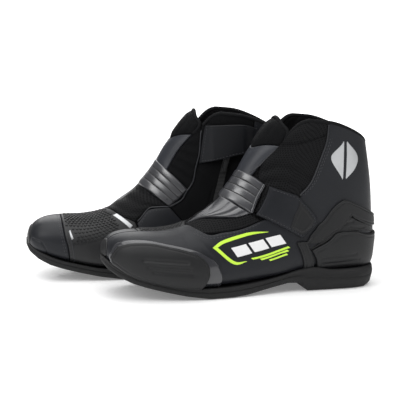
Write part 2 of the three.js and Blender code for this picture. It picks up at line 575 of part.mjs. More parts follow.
  const pullerY = pivotY - PULLER_LENGTH / 2 + PULLER_THICKNESS / 2;
  add("zip_puller", boxOn(PULLER_WIDTH, PULLER_LENGTH, PULLER_THICKNESS, pullerY, pullerZ), MATERIAL.zip);

  // The flap over the top of the zip is sewn along its front edge and stands off over the slider.
  const rampAt = (t, angle) => {
    const ahead = (BOOT_LENGTH / 2 - onLast(t, angle).x) / grade.length;
    const { smoothstep } = THREE.MathUtils;
    const rise = smoothstep(105 - ahead, 0, 14) * smoothstep(ahead - 47, 0, 14);
    return first + FLAP_BULGE * rise;
  };
  const flapLayer = layer(rampAt, (t, angle) => rampAt(t, angle) + FLAP_THICKNESS, 4 * COLUMNS);
  add("closure_flap", flapLayer.intersect(sideCut(outline(FLAP), ...INNER, 0)), MATERIAL.leather);
  return boot;
}

// ---- The pair ----
const pair = new THREE.Group();
const leftBoot = makeBoot("left");
const rightBoot = makeBoot("right");
rightBoot.scale.y = -1;
rightBoot.position.set(-RIGHT_BOOT.ahead, RIGHT_BOOT.aside, 0);
rightBoot.rotation.z = THREE.MathUtils.degToRad(-RIGHT_BOOT.turn);
pair.add(leftBoot, rightBoot);

// The frame's origin is at the middle of the pair's footprint, on the ground.
const bounds = new THREE.Box3().setFromObject(pair, true);
const middle = bounds.getCenter(new THREE.Vector3());
middle.z = bounds.min.z;
for (const boot of [leftBoot, rightBoot]) boot.position.sub(middle);

export default pair;
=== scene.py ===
"""A pair of ankle-high riding boots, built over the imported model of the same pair.

Each boot is drawn once and made twice. In the drawing, x runs ahead from the heel's back, y to the
outer side and z up, in millimetres; every boot's own matrix takes the drawing into the row frame.
"""
import json
import math
import sys

import bmesh
import bpy
import numpy as np
from bpy.props import FloatProperty, FloatVectorProperty, IntProperty, PointerProperty
from mathutils import Matrix, Vector
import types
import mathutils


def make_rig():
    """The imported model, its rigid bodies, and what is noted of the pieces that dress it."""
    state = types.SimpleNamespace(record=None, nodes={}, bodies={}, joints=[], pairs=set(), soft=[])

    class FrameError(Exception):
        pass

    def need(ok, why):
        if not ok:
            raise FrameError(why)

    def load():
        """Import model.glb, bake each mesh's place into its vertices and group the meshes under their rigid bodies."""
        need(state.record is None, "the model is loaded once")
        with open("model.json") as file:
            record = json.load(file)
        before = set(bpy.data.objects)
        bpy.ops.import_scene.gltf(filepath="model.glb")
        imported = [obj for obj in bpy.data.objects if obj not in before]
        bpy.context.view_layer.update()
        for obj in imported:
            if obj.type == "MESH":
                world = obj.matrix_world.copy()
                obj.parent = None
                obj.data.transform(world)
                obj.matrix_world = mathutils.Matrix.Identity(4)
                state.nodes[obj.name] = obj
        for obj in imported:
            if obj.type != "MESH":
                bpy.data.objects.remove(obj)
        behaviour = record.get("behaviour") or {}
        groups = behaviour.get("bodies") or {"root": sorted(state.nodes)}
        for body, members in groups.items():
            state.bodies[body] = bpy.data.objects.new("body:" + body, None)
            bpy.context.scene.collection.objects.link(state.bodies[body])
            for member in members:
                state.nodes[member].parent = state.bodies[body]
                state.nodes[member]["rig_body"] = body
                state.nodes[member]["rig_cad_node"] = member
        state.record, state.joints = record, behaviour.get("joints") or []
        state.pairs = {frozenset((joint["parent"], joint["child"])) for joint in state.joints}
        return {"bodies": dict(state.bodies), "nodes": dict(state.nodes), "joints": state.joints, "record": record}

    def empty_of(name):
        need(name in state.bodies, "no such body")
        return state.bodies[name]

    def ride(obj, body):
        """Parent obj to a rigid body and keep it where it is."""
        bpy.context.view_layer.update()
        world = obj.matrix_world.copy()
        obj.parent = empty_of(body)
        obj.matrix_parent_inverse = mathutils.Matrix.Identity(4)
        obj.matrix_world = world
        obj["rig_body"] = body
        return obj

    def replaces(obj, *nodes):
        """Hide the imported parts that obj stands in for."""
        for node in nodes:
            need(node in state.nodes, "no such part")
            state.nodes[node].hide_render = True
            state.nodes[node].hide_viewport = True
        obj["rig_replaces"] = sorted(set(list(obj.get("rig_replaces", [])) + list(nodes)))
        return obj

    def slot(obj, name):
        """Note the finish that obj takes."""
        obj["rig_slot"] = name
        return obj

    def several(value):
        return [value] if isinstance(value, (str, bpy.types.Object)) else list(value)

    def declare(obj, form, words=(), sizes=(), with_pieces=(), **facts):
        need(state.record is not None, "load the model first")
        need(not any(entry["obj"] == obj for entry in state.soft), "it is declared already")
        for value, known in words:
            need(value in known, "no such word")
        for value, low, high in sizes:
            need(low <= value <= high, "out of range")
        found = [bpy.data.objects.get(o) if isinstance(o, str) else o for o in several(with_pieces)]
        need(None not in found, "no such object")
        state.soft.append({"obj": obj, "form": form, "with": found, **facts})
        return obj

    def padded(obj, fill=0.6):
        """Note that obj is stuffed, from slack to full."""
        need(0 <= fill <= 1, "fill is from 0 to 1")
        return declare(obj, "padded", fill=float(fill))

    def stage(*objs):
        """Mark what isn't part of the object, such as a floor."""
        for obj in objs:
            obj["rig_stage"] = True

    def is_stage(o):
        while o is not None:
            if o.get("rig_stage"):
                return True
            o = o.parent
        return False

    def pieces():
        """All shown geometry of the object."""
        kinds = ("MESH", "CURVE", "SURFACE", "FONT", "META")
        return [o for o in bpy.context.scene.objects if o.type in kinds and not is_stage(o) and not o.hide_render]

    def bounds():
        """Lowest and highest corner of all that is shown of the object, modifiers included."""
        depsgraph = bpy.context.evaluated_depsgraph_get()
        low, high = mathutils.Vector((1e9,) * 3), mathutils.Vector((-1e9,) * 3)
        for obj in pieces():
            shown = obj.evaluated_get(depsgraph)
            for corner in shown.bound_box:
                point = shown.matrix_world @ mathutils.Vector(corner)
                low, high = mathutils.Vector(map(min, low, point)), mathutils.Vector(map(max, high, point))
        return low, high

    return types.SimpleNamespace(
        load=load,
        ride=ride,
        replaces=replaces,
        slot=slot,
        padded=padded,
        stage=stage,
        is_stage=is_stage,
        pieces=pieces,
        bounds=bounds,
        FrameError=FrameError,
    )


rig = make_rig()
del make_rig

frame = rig.load()
CAD_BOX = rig.bounds()

bl_info = {
    "name": "Riding boots",
    "version": (1, 0, 0),
    "blender": (4, 5, 0),
    "location": "View3D > Sidebar > Boots",
    "description": "Builds a pair of short riding boots piece by piece",
    "category": "Add Mesh",
}

MM = 0.001
SIDES = ("left", "right")

# ---- The boot's form ----

# Sections of the last from the toe tip to the collar: where the top line and the sole or back are,
# half breadths to the outer and inner side, the middle's shift outwards, how far down the widest
# place is, and the roundness above and below it.
LAST = np.array([
    (299.5, 48, 299.5, 44, 4, 4, -9, 0.5, 2, 2),
    (296.5, 56, 297.5, 38, 19, 19, -9, 0.52, 2.2, 2.4),
    (290, 62, 290, 31, 29, 28, -8, 0.56, 2.3, 2.8),
    (279, 65.5, 276, 25.5, 37, 36, -5, 0.6, 2.4, 3.2),
    (262, 66.5, 257, 20.5, 43, 41, -3, 0.64, 2.4, 3.6),
    (240, 66.5, 231, 15, 47, 44, -1, 0.68, 2.4, 3.8),
    (217, 71, 200, 12, 47, 43, 0, 0.72, 2.3, 3.8),
    (196, 83, 165, 12, 44, 40, 1, 0.74, 2.2, 3.4),
    (180, 95, 125, 15, 40, 37, 1, 0.74, 2.1, 3),
    (167, 109, 86, 19, 37, 35, 0, 0.7, 2.1, 3),
    (157, 122, 46, 19, 35.5, 35.5, 0, 0.62, 2.1, 2.8),
    (149, 135, 12, 21, 35, 35.5, 0, 0.55, 2.1, 2.6),
    (142, 147, 3.5, 45, 35, 35.2, 0, 0.5, 2.1, 2.3),
    (135.5, 158, 3.5, 76, 35.5, 35, 0, 0.5, 2.1, 2.2),
    (128.5, 168, 6, 110, 36, 34.8, 0, 0.5, 2.1, 2.2),
    (120, 178, 11, 145, 37, 34.6, 0, 0.5, 2.1, 2.2),
    (110, 188, 16, 178, 37.5, 34.5, 0, 0.5, 2.1, 2.2),
])
LAST_END = len(LAST) - 1

LEATHER = 2.2
CLEARANCE = 0.3
STRAP = 2.6
FIRST = LEATHER + CLEARANCE  # where the second layer starts, out from the last


def measures(t):
    """The last's measures at t, as a smooth curve through its sections."""
    t = np.clip(np.asarray(t, float), 0, LAST_END)
    i = np.minimum(t.astype(int), LAST_END - 1)
    f = (t - i)[..., None]
    a, b, c, d = (LAST[np.clip(i + k, 0, LAST_END)] for k in (-1, 0, 1, 2))
    return b + 0.5 * f * (c - a + f * (2 * a - 5 * b + 4 * c - d + f * (3 * (b - c) + d - a)))


def turned(angle):
    """The same angle between -pi and pi, so that a rail may run on past the heel's line."""
    return np.asarray(angle, float) - 2 * math.pi * (np.asarray(angle, float) > math.pi + 1e-9)


def on_last(t, angle):
    """Points on the last. angle is 0 on the top line, positive to the outer side and pi on the sole."""
    m = np.moveaxis(measures(t), -1, 0)
    angle = turned(angle)
    upper = np.cos(angle) >= 0
    power = 2 / np.where(upper, m[8], m[9])
    down = np.abs(np.cos(angle)) ** power
    share = np.where(upper, m[7] * (1 - down), m[7] + (1 - m[7]) * down)
    out = m[6] + np.sign(angle) * np.where(angle >= 0, m[4], m[5]) * np.abs(np.sin(angle)) ** power
    return np.stack([m[0] + share * (m[2] - m[0]), out, m[1] + share * (m[3] - m[1])], -1)


def way_out(t, angle):
    """The unit vector out of the last."""
    step = 0.03
    t, angle = np.broadcast_arrays(np.asarray(t, float), turned(angle))
    low = np.clip(t - step, 0.1, LAST_END - 2 * step)
    along = on_last(low + 2 * step, angle) - on_last(low, angle)
    near = np.clip(angle, step - math.pi, math.pi - step)
    round_ = on_last(t, near + step) - on_last(t, near - step)
    out = np.cross(round_, along)
    out /= np.maximum(np.linalg.norm(out, axis=-1, keepdims=True), 1e-9)
    return out


def off_last(t, angle, distance):
    return on_last(t, angle) + way_out(t, angle) * np.asarray(distance)[..., None]


def last_at(points, side, off=0.0):
    """The (t, angle) that shows at places [ahead, height] on one side, at a distance off the last."""
    points = np.asarray(points, float)
    low, high = np.full(len(points), 0.5), np.full(len(points), float(LAST_END))

    def across(t):
        m = measures(t)
        top, sole = m[:, :2], m[:, 2:4]
        d, w = sole - top, points - top
        return d[:, 0] * w[:, 1] - d[:, 1] * w[:, 0]

    start = across(low)
    for _ in range(40):
        middle = (low + high) / 2
        same = across(middle) * start > 0
        low, high = np.where(same, middle, low), np.where(same, high, middle)
    m = measures(low)
    top, d = m[:, :2], m[:, 2:4] - m[:, :2]
    goal = ((points - top) * d).sum(1)
    first, last = np.zeros(len(points)), np.full(len(points), math.pi)
    for _ in range(40):
        middle = (first + last) / 2
        p = off_last(low, middle, np.full(len(points), off))[:, [0, 2]]
        less = ((p - top) * d).sum(1) < goal
        first, last = np.where(less, middle, first), np.where(less, last, middle)
    return np.stack([low, side * first], -1)


def outer(*points, off=0.0):
    """Places in the side view, on the outer side."""
    return last_at(points, 1, off)


def inner(*points, off=0.0):
    return last_at(points, -1, off)


def beyond(*points, off=0.0):
    """Places on the inner side, for a rail that comes round the heel from the outer one."""
    return inner(*points, off=off) + np.array([0, 2 * math.pi])


def crest(ahead, angle=0.0):
    """A place on the top line, or beside it by an angle."""
    t = np.linspace(0, LAST_END, 400)
    return np.array([[np.interp(-ahead, -measures(t)[:, 0], t), angle]])


def heel_line(height, sign=1):
    """A place on the line down the heel's back."""
    t = np.linspace(10.5, LAST_END, 200)
    return np.array([[np.interp(height, measures(t)[:, 3], t), sign * math.pi]])


def rail(*runs):
    """A curve through runs of (t, angle) places. Neighbouring runs share an end, which is a corner."""
    runs = [np.asarray(run, float) for run in runs]
    counts = np.array([len(run) - 1 for run in runs])
    ends = np.concatenate([[0], np.cumsum(counts)]) / counts.sum()

    def at(u):
        u = np.asarray(u, float)
        k = np.clip(np.searchsorted(ends, u, side="right") - 1, 0, len(runs) - 1)
        result = np.zeros(u.shape + (2,))
        for n, run in enumerate(runs):
            s = np.clip((u - ends[n]) / (ends[n + 1] - ends[n]), 0, 1) * counts[n]
            i = np.minimum(s.astype(int), counts[n] - 1)
            f = (s - i)[..., None]
            padded = np.concatenate([[2 * run[0] - run[1]], run, [2 * run[-1] - run[-2]]])
            a, b, c, d = (padded[i + j] for j in range(4))
            p = b + 0.5 * f * (c - a + f * (2 * a - 5 * b + 4 * c - d + f * (3 * (b - c) + d - a)))
            result = np.where((k == n)[..., None], p, result)
        return result

    return at


def join(*parts):
    return np.concatenate(parts)


def spaced(length, count, edge=1.6):
    """Places from 0 to 1, closer together by the two ends, over a run of that length in mm."""
    inside = np.array([0, 0.12, 0.36, 0.68, 1.0]) * min(edge / length, 0.2)
    return np.concatenate([inside, np.linspace(inside[-1], 1 - inside[-1], count + 2)[1:-1], 1 - inside[::-1]])


def grid_places(south, north, west, east, count_u, count_v):
    """(t, angle) over a four-sided patch, as an array [v, u], with its u and v."""
    def length(curve):
        s = curve(np.linspace(0, 1, 30))
        p = on_last(s[:, 0], s[:, 1])
        return np.linalg.norm(np.diff(p, axis=0), axis=1).sum()

    corners = [south(np.array(0.0)), south(np.array(1.0)), north(np.array(0.0)), north(np.array(1.0))]
    if west is None:
        west = lambda v: corners[0] + (corners[2] - corners[0]) * v[..., None]
    if east is None:
        east = lambda v: corners[1] + (corners[3] - corners[1]) * v[..., None]
    u = spaced(max(length(south), length(north)), count_u)
    v = spaced(max(length(west), length(east)), count_v)
    U, V = np.meshgrid(u, v)
    s, n, w, e = south(U), north(U), west(V), east(V)
    U1, V1 = U[..., None], V[..., None]
    ruled = (1 - V1) * s + V1 * n + (1 - U1) * w + U1 * e
    bilinear = (1 - U1) * (1 - V1) * corners[0] + U1 * (1 - V1) * corners[1]
    bilinear = bilinear + (1 - U1) * V1 * corners[2] + U1 * V1 * corners[3]
    return ruled - bilinear, U, V


def side_distance(t, angle, line):
    """How far places on the last are from a line of [ahead, height] in the side view, in mm."""
    p = on_last(t, angle)[..., [0, 2]]
    best = np.full(p.shape[:-1], 1e3)
    for a, b in zip(np.array(line[:-1], float), np.array(line[1:], float)):
        share = np.clip(((p - a) @ (b - a)) / ((b - a) @ (b - a)), 0, 1)
        best = np.minimum(best, np.linalg.norm(p - a - share[..., None] * (b - a), axis=-1))
    return best


def groove(t, angle, line, width, depth):
    return -depth * np.exp(-(side_distance(t, angle, line) / width) ** 2)


def edge_distance(points):
    """How far each point of a grid [v, u] is from the grid's edge, in mm."""
    du = np.linalg.norm(np.diff(points, axis=1), axis=-1)
    dv = np.linalg.norm(np.diff(points, axis=0), axis=-1)
    left = np.concatenate([np.zeros((len(points), 1)), np.cumsum(du, 1)], 1)
    low = np.concatenate([np.zeros((1, points.shape[1])), np.cumsum(dv, 0)], 0)
    return left, left[:, -1:] - left, low, low[-1:] - low


def round_edge(distance, radius):
    """Rises from 0 to 1 as a quarter circle over a radius."""
    x = np.clip(distance / radius, 0, 1)
    return np.sqrt(1 - (1 - x) ** 2)


def smooth(x):
    x = np.clip(x, 0, 1)
    return x * x * (3 - 2 * x)


# ---- Places in the frame ----

MOUNTS = {m["name"]: Vector(m["pos_m"]) for m in frame["record"]["mounts"]}
HEEL_MOUNT, BALL_MOUNT = 57, 182  # how far ahead each boot's two ground faces lie


def boot_matrix(side):
    """Takes the drawing, in millimetres, into the row frame for one boot."""
    heel, ball = MOUNTS[f"{side}_heel_ground"], MOUNTS[f"{side}_ball_ground"]
    ahead = (ball - heel) / (BALL_MOUNT - HEEL_MOUNT)
    up = Vector((0, 0, ahead.length))
    out = up.cross(ahead.normalized()) * (1 if side == "left" else -1)
    matrix = Matrix.Identity(4)
    for column, axis in enumerate((ahead, out, up)):
        matrix.col[column].xyz = axis
    matrix.translation = heel - ahead * HEEL_MOUNT
    return matrix


BOOT = {side: boot_matrix(side) for side in SIDES}


# ---- Mesh helpers ----

TOE_HOLE = 12  # how far back from its tip a hole at the toe reaches, mm


def grid_mesh(points, uv=None, wrap=False):
    """A bmesh of quads through a grid of points [v, u], each in mm. wrap closes it along u."""
    rows, columns = points.shape[:2]
    bm = bmesh.new()
    bmesh.ops.create_grid(bm, x_segments=columns - 1, y_segments=rows - 1, size=0.5)
    bm.verts.ensure_lookup_table()
    for vertex, place in zip(bm.verts, points.reshape(-1, 3)):
        vertex.co = place
    if uv is not None:
        layer = bm.loops.layers.uv.new("Surface")
        flat = uv.reshape(-1, 2)
        for face in bm.faces:
            for loop in face.loops:
                loop[layer].uv = flat[loop.vert.index]
    if wrap:
        bmesh.ops.remove_doubles(bm, verts=bm.verts, dist=1e-4)
    return bm


def face_out(bm, t, angle):
    """Turns a sheet's faces so that they point out of the last."""
    face = max(bm.faces, key=lambda f: f.calc_area())
    face.normal_update()
    centre = np.array(face.calc_center_median())
    p = on_last(t, angle).reshape(-1, 3)
    k = np.argmin(((p - centre) ** 2).sum(1))
    out = way_out(t, angle).reshape(-1, 3)[k]
    if Vector(out).dot(face.normal) < 0:
        bmesh.ops.reverse_faces(bm, faces=bm.faces[:])


def closed(front, behind, t, angle, uv, wrap=False, pole=False):
    """A solid between two sheets whose edges meet, its front one facing out of the last.

    A sheet that wraps round the last has a small hole at the toe, which is filled, unless its first
    row is a single point, a pole."""
    top, under = grid_mesh(front, uv, wrap), grid_mesh(behind, uv, wrap)
    if wrap and not pole:
        for sheet in (top, under):
            tip = max(v.co.x for v in sheet.verts if v.is_boundary)
            loop = [e for e in sheet.edges if e.is_boundary and e.verts[0].co.x > tip - TOE_HOLE]
            bmesh.ops.holes_fill(sheet, edges=loop, sides=0)
    face_out(top, t, angle)
    face_out(under, t, angle)
    bmesh.ops.reverse_faces(under, faces=under.faces[:])
    whole = merge(top, under)
    bmesh.ops.remove_doubles(whole, verts=whole.verts, dist=2e-3)
    return whole


def add_object(name, bm, material, smooth_faces=True):
    mesh = bpy.data.meshes.new(name)
    bm.to_mesh(mesh)
    for polygon in mesh.polygons:
        polygon.use_smooth = smooth_faces
    obj = bpy.data.objects.new(name, mesh)
    bpy.context.scene.collection.objects.link(obj)
    for m in material if isinstance(material, (list, tuple)) else [material]:
        mesh.materials.append(m)
    return obj


def add_pair(name, bm, material, body="boots", node=None, slot=None, smooth_faces=True, fill=None):
    """Adds a drawn piece to both boots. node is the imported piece, or pieces, that it stands for, and fill
    is how full a padded piece is."""
    for side in SIDES:
        copy = bm.copy()
        bmesh.ops.transform(copy, matrix=BOOT[side], verts=copy.verts)
        if side == "right":
            bmesh.ops.reverse_faces(copy, faces=copy.faces[:])
        obj = add_object(f"{side}_{name}_surface", copy, material, smooth_faces)
        copy.free()
        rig.ride(obj, body if body == "boots" else f"{side}_{body}")
        if node:
            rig.replaces(obj, *(f"{side}_{n}" for n in (node if isinstance(node, tuple) else (node,))))
        if slot or node:
            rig.slot(obj, slot or (node if isinstance(node, str) else node[0]))
        if fill:
            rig.padded(obj, fill=fill)
    bm.free()


def panel(edges, count, base, thickness, edge=1.5, relief=None):
    """A sewn or moulded skin over the last, closed, with rounded edges.

    edges are its south, north, west and east rails, the last two optional. base, in mm out from the
    last, is a number or a function of (t, angle), and relief(t, angle, u, v, depth) adds to the face
    away from its edge.
    """
    south, north, west, east = (*edges, None, None)[:4]
    places, u, v = grid_places(south, north, west, east, *count)
    t, angle = places[..., 0], places[..., 1]
    sides = edge_distance(on_last(t, angle))
    depth = np.min(sides, axis=0)
    floor = base(t, angle) if callable(base) else np.full(t.shape, float(base))
    height = thickness * round_edge(depth, edge)
    if relief is not None:
        height = np.where(depth > 0, np.maximum(height + relief(t, angle, u, v, depth), 0.05), 0)
    return closed(off_last(t, angle, floor + height), off_last(t, angle, floor), t, angle,
                  np.stack([sides[0], sides[2]], -1) * MM)


def add_skin(name, edges, count, base, thickness, kind, relief=None, edge=1.5, body="boots", **how):
    """Adds a panel to both boots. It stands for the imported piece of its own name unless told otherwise."""
    if "slot" not in how:
        how.setdefault("node", name)
    add_pair(name, panel(edges, count, base, thickness, edge, relief), finish(kind), body, **how)


def roll(line, radius, distance, count, sides=8, flat=1.0):
    """A closed bead of a radius along a rail on the last."""
    s = line(np.linspace(0, 1, count))
    centre = off_last(s[:, 0], s[:, 1], np.full(count, distance))
    out = way_out(s[:, 0], s[:, 1])
    return bead(centre, out, radius, sides, flat)


def bead(centre, out, radius, sides=8, flat=1.0):
    """A closed bead through points in mm, with round ends."""
    along = np.gradient(centre, axis=0)
    along /= np.linalg.norm(along, axis=1, keepdims=True)
    across = np.cross(out, along)
    across /= np.linalg.norm(across, axis=1, keepdims=True)
    up = np.cross(along, across)
    count = len(centre)
    size = np.ones(count)
    size[0] = size[-1] = 0.02
    size[1] = size[-2] = 0.75
    turn = np.linspace(0, 2 * math.pi, sides + 1)
    ring = (across[:, None] * np.cos(turn)[None, :, None] + up[:, None] * np.sin(turn)[None, :, None] * flat)
    points = centre[:, None] + ring * (np.asarray(radius) * size)[:, None, None]
    bm = grid_mesh(points, wrap=True)
    close_ends(bm)
    return bm


def close_ends(bm):
    bmesh.ops.holes_fill(bm, edges=[e for e in bm.edges if e.is_boundary], sides=0)
    bmesh.ops.recalc_face_normals(bm, faces=bm.faces[:])


def merge(*parts):
    """One bmesh holding several."""
    whole = parts[0]
    for part in parts[1:]:
        mesh = bpy.data.meshes.new("part")
        part.to_mesh(mesh)
        whole.from_mesh(mesh)
        bpy.data.meshes.remove(mesh)
        part.free()
    return whole


def stitches(line, distance, length=2.6, gap=1.3, width=0.42, start=0.0, end=1.0):
    """A run of stitches along a rail on the last, as one mesh."""
    s = line(np.linspace(start, end, 400))
    p = off_last(s[:, 0], s[:, 1], np.full(400, distance))
    run = np.concatenate([[0], np.cumsum(np.linalg.norm(np.diff(p, axis=0), axis=1))])
    count = max(1, int(run[-1] / (length + gap)))
    whole = bmesh.new()
    for i in range(count):
        a, b = (np.array([np.interp(x, run, p[:, k]) for k in range(3)])
                for x in ((length + gap) * i + gap / 2, (length + gap) * i + gap / 2 + length))
        middle = np.interp((length + gap) * (i + 0.5), run, np.arange(400))
        out = Vector(way_out(s[int(middle), 0], s[int(middle), 1]))
        along = Vector(b - a)
        matrix = Matrix.Identity(4)
        x, z = along.normalized(), out
        y = z.cross(x).normalized()
        for column, axis in enumerate((x, y, x.cross(y))):
            matrix.col[column].xyz = axis
        matrix.translation = Vector((a + b) / 2)
        one = bmesh.ops.create_icosphere(whole, subdivisions=1, radius=1)
        scale = Matrix.Diagonal((along.length / 2, width, width * 0.8, 1))
        bmesh.ops.transform(whole, matrix=matrix @ scale, verts=one["verts"])
    return whole


# ---- Shader expressions ----

def add_node(tree, kind, settings=None, inputs=None, output=0):
    """Adds a node. settings are set first, then inputs, each a value or a Wire, by name or number."""
    node = tree.nodes.new(kind)
    for key, value in (settings or {}).items():
        setattr(node, key, value)
    for key, value in (inputs or {}).items():
        if isinstance(value, Wire):
            tree.links.new(value.socket, node.inputs[key])
        else:
            node.inputs[key].default_value = value
    return Wire(tree, node.outputs[output])


class Wire:
    """A socket whose operators add Math nodes."""

    def __init__(self, tree, socket):
        self.tree, self.socket = tree, socket

    def math(self, operation, *values):
        return add_node(self.tree, "ShaderNodeMath", {"operation": operation}, dict(enumerate(values)))

    def __add__(self, other): return self.math("ADD", self, other)
    def __radd__(self, other): return self.math("ADD", other, self)
    def __sub__(self, other): return self.math("SUBTRACT", self, other)
    def __rsub__(self, other): return self.math("SUBTRACT", other, self)
    def __mul__(self, other): return self.math("MULTIPLY", self, other)
    def __rmul__(self, other): return self.math("MULTIPLY", other, self)
    def __truediv__(self, other): return self.math("DIVIDE", self, other)
    def sin(self): return self.math("SINE", self)
    def floor(self): return self.math("FLOOR", self)
    def power(self, other): return self.math("POWER", self, other)
    def least(self, other): return self.math("MINIMUM", self, other)
    def most(self, other): return self.math("MAXIMUM", self, other)
    def fraction(self): return self.math("FRACT", self)


class Finish:
    """A material whose nodes are added one by one around its main shader."""

    def __init__(self, name, color, roughness, metallic=0.0, **constants):
        self.material = bpy.data.materials.new(name)
        self.material.use_nodes = True
        self.tree = self.material.node_tree
        self.shader = self.tree.nodes["Principled BSDF"]
        self.color = tuple(color)
        self.set("Base Color", (*color, 1))
        self.set("Roughness", roughness)
        self.set("Metallic", metallic)
        for key, value in constants.items():
            self.set(key.replace("_", " ").title().replace("Ior", "IOR"), value)

    def set(self, socket, value):
        place = self.shader.inputs[socket]
        if isinstance(value, Wire):
            self.tree.links.new(value.socket, place)
        else:
            place.default_value = value

    def node(self, kind, settings=None, inputs=None, output=0):
        return add_node(self.tree, kind, settings, inputs, output)

    def object_place(self):
        return self.node("ShaderNodeTexCoord", output="Object")

    def surface_place(self):
        """The piece's own map: metres across and along its surface."""
        place = self.node("ShaderNodeUVMap", {"uv_map": "Surface"})
        across = self.node("ShaderNodeSeparateXYZ", inputs={0: place})
        return across, Wire(self.tree, across.socket.node.outputs[1])

    def noise(self, place, scale, detail=3.0, roughness=0.5):
        return self.node("ShaderNodeTexNoise", None,
                         {"Vector": place, "Scale": scale, "Detail": detail, "Roughness": roughness})

    def cells(self, place, scale):
        return self.node("ShaderNodeTexVoronoi", None, {"Vector": place, "Scale": scale})

    def tint(self, factor, other, base=None):
        """Base Color between the base and another colour by a factor."""
        mix = self.node("ShaderNodeMix", {"data_type": "RGBA"},
                        {"Factor": factor, 6: (*(base or self.color), 1), 7: (*other, 1)}, output=2)
        self.set("Base Color", mix)

    def clouds(self, noise, other, least, spread, share=None):
        """Clouds of another colour, rougher where they are thick. Gives their place, noise and roughness."""
        place = self.object_place()
        cloud = self.noise(place, *noise)
        self.tint(cloud * share if share else cloud, other)
        roughness = least + cloud * spread
        self.set("Roughness", roughness)
        return place, cloud, roughness

    def bump(self, height, distance, strength=1.0):
        self.set("Normal", self.node("ShaderNodeBump", None,
                                     {"Height": height, "Distance": distance, "Strength": strength}))


# ---- Finishes ----

FINISHES = {}


def scaled(color, factor):
    return [x * factor for x in color]


def finish(kind):
    """The material of a kind, made once from the colours that the user chose."""
    if kind not in FINISHES:
        FINISHES[kind] = globals()[f"make_{kind}"](bpy.context.scene.boot_colours)
    return FINISHES[kind]


def staggered(f, pitch, ratio=0.866):
    """The distance from the nearest of a lattice of staggered points on the piece, from 0 to about 0.6."""
    u, v = f.surface_place()
    row = v / (pitch * ratio)
    odd = (row.floor() * 0.5).fraction()
    x = (u / pitch + odd).fraction() - 0.5
    y = (row.fraction() - 0.5) * ratio
    return (x * x + y * y).power(0.5)


def grained(name, color, roughness=0.34, specular=0.22):
    f = Finish(name, color, 0.42, coat_roughness=0.35, specular_ior_level=specular)
    place = f.object_place()
    grain = f.cells(place, 1050.0)
    pores = f.noise(place, 2400.0, 2.0)
    cloud = f.noise(place, 16.0, 4.0, 0.6)
    fine = f.noise(place, 140.0, 3.0)
    f.tint((cloud * 0.7 + fine * 0.3 - 0.25) * 1.1, scaled(color, 1.55))
    f.set("Roughness", roughness + cloud * 0.13 + fine * 0.06)
    f.set("Coat Weight", 0.02 + cloud * 0.06)
    f.bump(grain * 0.6 + pores * 0.4, 0.00022, 0.55)
    return f.material


def make_leather(c):
    return grained("Grained leather", c.leather)


# The tongue's leather is less rough and more specular than the plain leather. Its base colour is 2.1 times as light,
# which is a painted sheen.
def make_satin_leather(c):
    return grained("Satin leather", scaled(c.leather, 2.1), 0.3, 0.32)


def make_dark_leather(c):
    dark = scaled(c.leather, 0.5)
    f = Finish("Black leather", dark, 0.46, specular_ior_level=0.2)
    place, *_ = f.clouds((22.0, 4.0, 0.6), scaled(dark, 2.2), 0.4, 0.14)
    f.bump(f.cells(place, 1250.0) * 0.6 + f.noise(place, 2400.0, 2.0) * 0.4, 0.0002, 0.55)
    return f.material


def make_spacer_mesh(c):
    f = Finish("Spacer mesh", c.fabric, 0.7, specular_ior_level=0.11)
    hole = ((0.30 - staggered(f, 0.0030)) * 9.0).most(0.0).least(1.0)
    u, v = f.surface_place()
    yarn = (u * 9000.0).sin() * (v * 9000.0).sin()
    f.tint(hole, (0.002, 0.002, 0.0022), scaled(c.fabric, 1.9))
    f.set("Roughness", 0.55 + hole * 0.35)
    f.bump((1 - hole) + yarn * 0.08, 0.0007, 0.8)
    return f.material


def make_textile(c):
    f = Finish("Woven textile", c.fabric, 0.78, specular_ior_level=0.07)
    u, v = f.surface_place()
    weave = (u * 5200.0).sin() * (v * 5200.0).sin()
    cloud = f.noise(f.object_place(), 35.0, 4.0)
    f.tint(weave * 0.35 + cloud * 0.6, scaled(c.fabric, 2.4))
    f.set("Roughness", 0.66 + cloud * 0.2)
    f.bump(weave * 0.5 + f.noise(f.object_place(), 900.0) * 0.3, 0.00035, 0.75)
    return f.material


def make_knit(c):
    f = Finish("Lining knit", c.lining, 0.9, specular_ior_level=0.1)
    dimple = ((0.42 - staggered(f, 0.0042)) * 4.0).most(0.0).least(1.0)
    u, v = f.surface_place()
    loops = (u * 6500.0).sin() * (v * 4200.0).sin()
    f.tint(dimple, scaled(c.lining, 0.3))
    f.set("Roughness", 0.82 + dimple * 0.15)
    f.bump(1 - dimple + loops * 0.15, 0.0009, 0.8)
    return f.material


def make_gloss(c):
    f = Finish("Glossy coated leather", c.gloss, 0.24, coat_weight=0.7, coat_roughness=0.22, specular_ior_level=0.7)
    place = f.object_place()
    cloud = f.noise(place, 60.0, 4.0)
    fine = f.noise(place, 900.0, 3.0)
    f.tint(cloud, scaled(c.gloss, 1.6))
    f.set("Roughness", 0.2 + cloud * 0.14 + fine * 0.05)
    f.bump(fine * 0.5 + f.cells(place, 1500.0) * 0.3, 0.00012, 0.5)
    return f.material


def make_moulded(c):
    f = Finish("Moulded matt plastic", c.plastic, 0.5, specular_ior_level=0.32)
    place, _, roughness = f.clouds((22.0, 4.0), scaled(c.plastic, 1.5), 0.4, 0.14, 0.8)
    spark = f.noise(place, 3200.0, 2.0)
    f.set("Roughness", roughness + spark * 0.08)
    f.bump(spark, 0.00012, 0.5)
    return f.material


def make_polished(c):
    f = Finish("Polished plastic", c.gloss, 0.14, coat_weight=0.5, coat_roughness=0.08)
    place, *_ = f.clouds((45.0, 5.0, 0.6), scaled(c.gloss, 1.4), 0.1, 0.12)
    f.bump(f.noise(place, 500.0, 3.0), 0.00005, 0.4)
    return f.material


